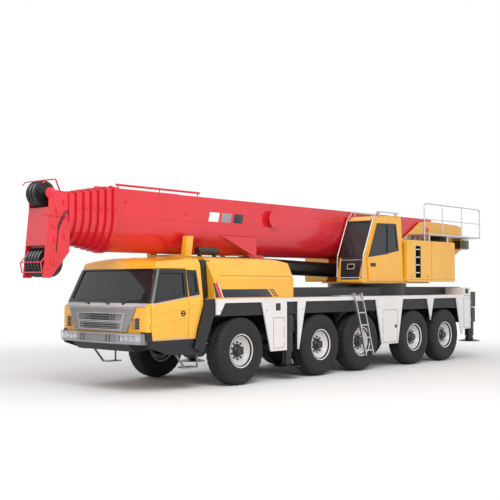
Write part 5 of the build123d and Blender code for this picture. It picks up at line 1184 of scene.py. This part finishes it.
# Platform deck: thirty tread bars
treads = [
    block((-4.66 - 0.098 * step, 0.63, 3.599), (-4.72 - 0.098 * step, 1.30, 3.607), 0.003)
    for step in range(30)
]
show("platform_treads", "superstructure", "galvanised", merge(*treads))

# Tail lockers: shut lines, windows and hinges; the right one stands further back, clear of its beam
for side_name, side in SIDES:
    rear, front = (-6.66, -6.236) if side > 0 else (-7.096, -6.705)
    wall = on_plane("y", side * SKIRT_HALF, side)
    door = seam(
        ((front - 0.03, 0.90), (rear + 0.03, 0.90), (rear + 0.03, 1.84), (front - 0.03, 1.84)), wall,
    )
    show(f"locker_seams_{side_name}", "carrier", "black_paint", door)
    pane = ((front - 0.11, 1.90), (rear + 0.13, 1.90), (rear + 0.13, 2.04), (front - 0.11, 2.04))
    window = raised(rounded(pane, 0.012), wall, -0.002, 0.004)
    show(f"locker_windows_{side_name}", "carrier", "black_paint", window)
    hinge = [
        block((rear + 0.005, side * 1.498, z), (rear + 0.035, side * 1.514, z + 0.10), 0.005)
        for z in (1.08, 1.60)
    ]
    show(f"locker_hinges_{side_name}", "carrier", "white_paint", merge(*hinge))


# The operator's door with its pane: a merged copy whose faces inside the window opening take the glass
leaf_mesh = frame["nodes"]["upper_cab_door"].data.copy()
leaf_mesh.name = "upper_door_leaf"
leaf_mesh.materials.clear()
leaf_mesh.materials.append(FINISHES["yellow_paint"])
leaf_mesh.materials.append(FINISHES["glass"])
working = bmesh.new()
working.from_mesh(leaf_mesh)
bmesh.ops.remove_doubles(working, verts=working.verts, dist=1e-5)
bmesh.ops.recalc_face_normals(working, faces=working.faces)
opening = np.asarray(OP_DOOR_WINDOW)
edge = np.roll(opening, -1, axis=0) - opening
middles = np.array([face.calc_center_median()[:] for face in working.faces])
# A face lies in the opening where its middle is on one side of all four edges
off = middles[:, None, ::2] - opening
reach = edge[:, 0] * off[:, :, 1] - edge[:, 1] * off[:, :, 0]
inside = np.all(reach > 1e-4, axis=1) | np.all(reach < -1e-4, axis=1)
for face, glazed in zip(working.faces, inside):
    face.material_index = int(glazed)
working.to_mesh(leaf_mesh)
working.free()
leaf = bpy.data.objects.new("upper_door_leaf", leaf_mesh)
bpy.context.scene.collection.objects.link(leaf)
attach(leaf, "upper_cab_door")
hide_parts("upper_cab_door")


# Seats
def pad(centre, half, tilt=0.0, channels=(-0.36, 0.36)):
    """A crowned, waisted cushion: z = c ((1 - X^6)(1 - Y^6))^(1/3), its channels sewn 12 mm deep."""
    share = np.sin(pi / 2 * np.linspace(-1, 1, 61))
    across, along = np.meshgrid(share, share, indexing="ij")
    rise = ((1 - across**6) * (1 - along**6)) ** (1 / 3)
    waist = 1 - 0.05 * (1 - across**2) * np.abs(along) ** 2
    pinch = 1 - 0.05 * (1 - along**2) * np.abs(across) ** 2
    x, y = half[0] * across * pinch, half[1] * along * waist
    sewn = sum(np.exp(-(((along - line) * half[1] / 0.009) ** 2)) for line in channels)
    welt = np.exp(-(((np.abs(across) - 0.55) * half[0] / 0.009) ** 2))
    crown = rise * (1 + 0.25 * (1 - across**2) * (1 - along**2))
    top = half[2] * crown - 0.012 * np.minimum(sewn + 0.7 * welt, 1) * rise
    bottom = -half[2] * rise
    grids = []
    for z in (top, bottom):
        leant_x = x * cos(tilt) - z * sin(tilt)
        leant_z = x * sin(tilt) + z * cos(tilt)
        grids.append(np.stack([leant_x, y, leant_z], axis=-1) + np.asarray(centre))
    upper = skin(grids[0])
    lower_points, lower = skin(grids[1])
    return merge(upper, (lower_points, [face[::-1] for face in lower]))


def seat_pads(name, body, x, y, floor, width, stands_for=()):
    """Seat, back and head pads over a seat's frame."""
    half = width / 2 + 0.012
    back_tilt = radians(97.1)
    parts = (
        ("seat", pad((x + 0.02, y, floor + 0.425), (0.265, half, 0.085))),
        ("back", pad((x - 0.275, y, floor + 0.80), (0.345, half, 0.082), back_tilt)),
        ("head", pad((x - 0.335, y, floor + 1.225), (0.10, 0.14, 0.055), back_tilt, channels=())),
    )
    for part, shape in parts:
        piece = show(
            f"{name}_{part}_pad", body, "trim_plastic", shape, "seat_cloth", smooth=70,
            stands_for=stands_for,
        )
        stands_for = ()


for side_name, side in SIDES:
    seat_pads(f"cab_{side_name}", "carrier", 5.15, side * 0.65, 1.1203, 0.50)
seat_pads("operator", "superstructure", -2.2375, 0.985, 2.2743, 0.46, stands_for=["upper_cab_seat"])
pedestal = merge(
    block((-2.4275, 0.83, 2.2743), (-2.0475, 1.14, 2.60), 0.02),
    block((-2.52, 0.76, 2.585), (-1.98, 1.21, 2.64), 0.015),
    block((-2.50, 0.74, 2.62), (-2.36, 0.80, 2.92), 0.02),
    block((-2.46, 1.17, 2.62), (-2.32, 1.23, 2.92), 0.02),
    block((-2.40, 0.72, 2.90), (-2.02, 0.80, 2.95), 0.02),
    block((-2.40, 1.17, 2.90), (-2.02, 1.25, 2.95), 0.02),
)
show("operator_seat_frame", "superstructure", "trim_plastic", pedestal)
KNOB_SECTION = ((-0.03, 0.004), (-0.03, 0.016), (0.0, 0.026), (0.035, 0.024), (0.05, 0.012), (0.052, 0.002))
levers = []
for y in (0.76, 1.21):
    levers.append(
        carried(disc(0.010, 8), along_line(((-2.06, y, 2.94), (-2.04, y, 3.06)), 4), up=(0, 1, 0))
    )
    levers.append(turned(KNOB_SECTION, (-2.04, y, 3.07), axis="z", steps=16))
show("operator_levers", "superstructure", "trim_plastic", merge(*levers), "black_paint")

# Oil tank beside the winch, in black
show(
    "oil_tank_shell", "superstructure", "black_paint",
    block((-7.694, 0.606, 3.246), (-7.196, 0.904, 3.534), 0.025),
)

# Tail lamps on the rear outrigger box, the coupling on the frame's rear cross member
REAR_X = -7.096
BOX_X = -7.032
LAMP_LOW, LAMP_HIGH = 1.34, 1.46
for side_name, side in SIDES:
    case = block((BOX_X + 0.004, side * 0.52, LAMP_LOW), (BOX_X - 0.035, side * 0.87, LAMP_HIGH), 0.012)
    show(f"tail_lamp_case_{side_name}", "carrier", "trim_plastic", case)
    shades = (("tail_red", 0.535, 0.635), ("amber", 0.64, 0.74), ("lens", 0.745, 0.855))
    for finish, near, far in shades:
        inner = (BOX_X - 0.030, side * near, LAMP_LOW + 0.015)
        outer = (BOX_X - 0.046, side * far, LAMP_HIGH - 0.015)
        shade = block(inner, outer, 0.007)
        show(f"tail_lamp_{finish}_{side_name}", "carrier", "glass", shade, finish)
towing = merge(
    block((REAR_X + 0.002, -0.14, 1.42), (REAR_X - 0.012, 0.14, 1.62), 0.006),
    turned(
        ((-0.055, 0.02), (-0.04, 0.045), (0.04, 0.045), (0.055, 0.02)), (REAR_X - 0.02, 0, 1.52), steps=20,
    ),
)
show("tow_plate", "carrier", "chassis_grey", towing)

add_camera()


def seen_rays(tree):
    """One for rays from the camera and for those that a mirror or a pane passes on, otherwise nought."""
    path = add_node(tree, "ShaderNodeLightPath")
    direct = add_node(tree, "ShaderNodeMath", {"operation": "MAXIMUM"})
    passed = add_node(tree, "ShaderNodeMath", {"operation": "MAXIMUM"})
    tree.links.new(path.outputs["Is Camera Ray"], direct.inputs[0])
    tree.links.new(path.outputs["Is Glossy Ray"], direct.inputs[1])
    tree.links.new(direct.outputs[0], passed.inputs[0])
    tree.links.new(path.outputs["Is Transmission Ray"], passed.inputs[1])
    return passed.outputs[0]


def add_floor():
    """A pale studio floor under the crane's shadow, which fades into white paper 6 to 17 m out."""
    far = 60.0
    mesh = bpy.data.meshes.new("floor")
    mesh.from_pydata([(-far, -far, 0), (far, -far, 0), (far, far, 0), (-far, far, 0)], [], [(0, 1, 2, 3)])
    floor = bpy.data.objects.new("floor", mesh)
    bpy.context.scene.collection.objects.link(floor)
    material, tree, shader, place = start_material("floor_paint", {"Roughness": 0.9})
    shader.inputs["Base Color"].default_value = linear("#f4f4f4")
    reach = add_node(tree, "ShaderNodeVectorMath", {"operation": "LENGTH"})
    tree.links.new(place, reach.inputs[0])
    fade = add_node(
        tree,
        "ShaderNodeMapRange",
        {"From Min": 6.0, "From Max": 17.0, "interpolation_type": "SMOOTHERSTEP"},
        {"Value": reach.outputs["Value"]},
    )
    share = add_node(tree, "ShaderNodeMath", {"operation": "MULTIPLY"})
    tree.links.new(fade.outputs["Result"], share.inputs[0])
    tree.links.new(seen_rays(tree), share.inputs[1])
    paper = add_node(tree, "ShaderNodeEmission", {"Color": (1.0, 1.0, 1.0, 1.0), "Strength": 1.0})
    blend = add_node(tree, "ShaderNodeMixShader", {}, {"Fac": share.outputs[0]})
    tree.links.new(shader.outputs["BSDF"], blend.inputs[1])
    tree.links.new(paper.outputs["Emission"], blend.inputs[2])
    tree.links.new(blend.outputs["Shader"], tree.nodes["Material Output"].inputs["Surface"])
    mesh.materials.append(material)


def add_lamp(name, place, aim, size, watts):
    """A square soft box at a place, turned towards an aim."""
    data = bpy.data.lights.new(name, "AREA")
    data.shape = "SQUARE"
    data.size = size
    data.energy = watts
    lamp = bpy.data.objects.new(name, data)
    bpy.context.scene.collection.objects.link(lamp)
    lamp.location = place
    lamp.rotation_euler = (Vector(aim) - Vector(place)).to_track_quat("-Z", "Y").to_euler()


add_floor()
world = bpy.data.worlds.new("world")
bpy.context.scene.world = world
world.use_nodes = True
backdrop = world.node_tree
strength = add_node(
    backdrop, "ShaderNodeMapRange", {"To Min": 0.7, "To Max": 1.0}, {"Value": seen_rays(backdrop)},
)
backdrop.nodes["Background"].inputs["Color"].default_value = (1.0, 1.0, 1.0, 1.0)
backdrop.links.new(strength.outputs["Result"], backdrop.nodes["Background"].inputs["Strength"])
add_lamp("key", (14, 14, 16), (0, 0, 1.5), 12, 3000)
bpy.context.scene.view_settings.view_transform = "Standard"
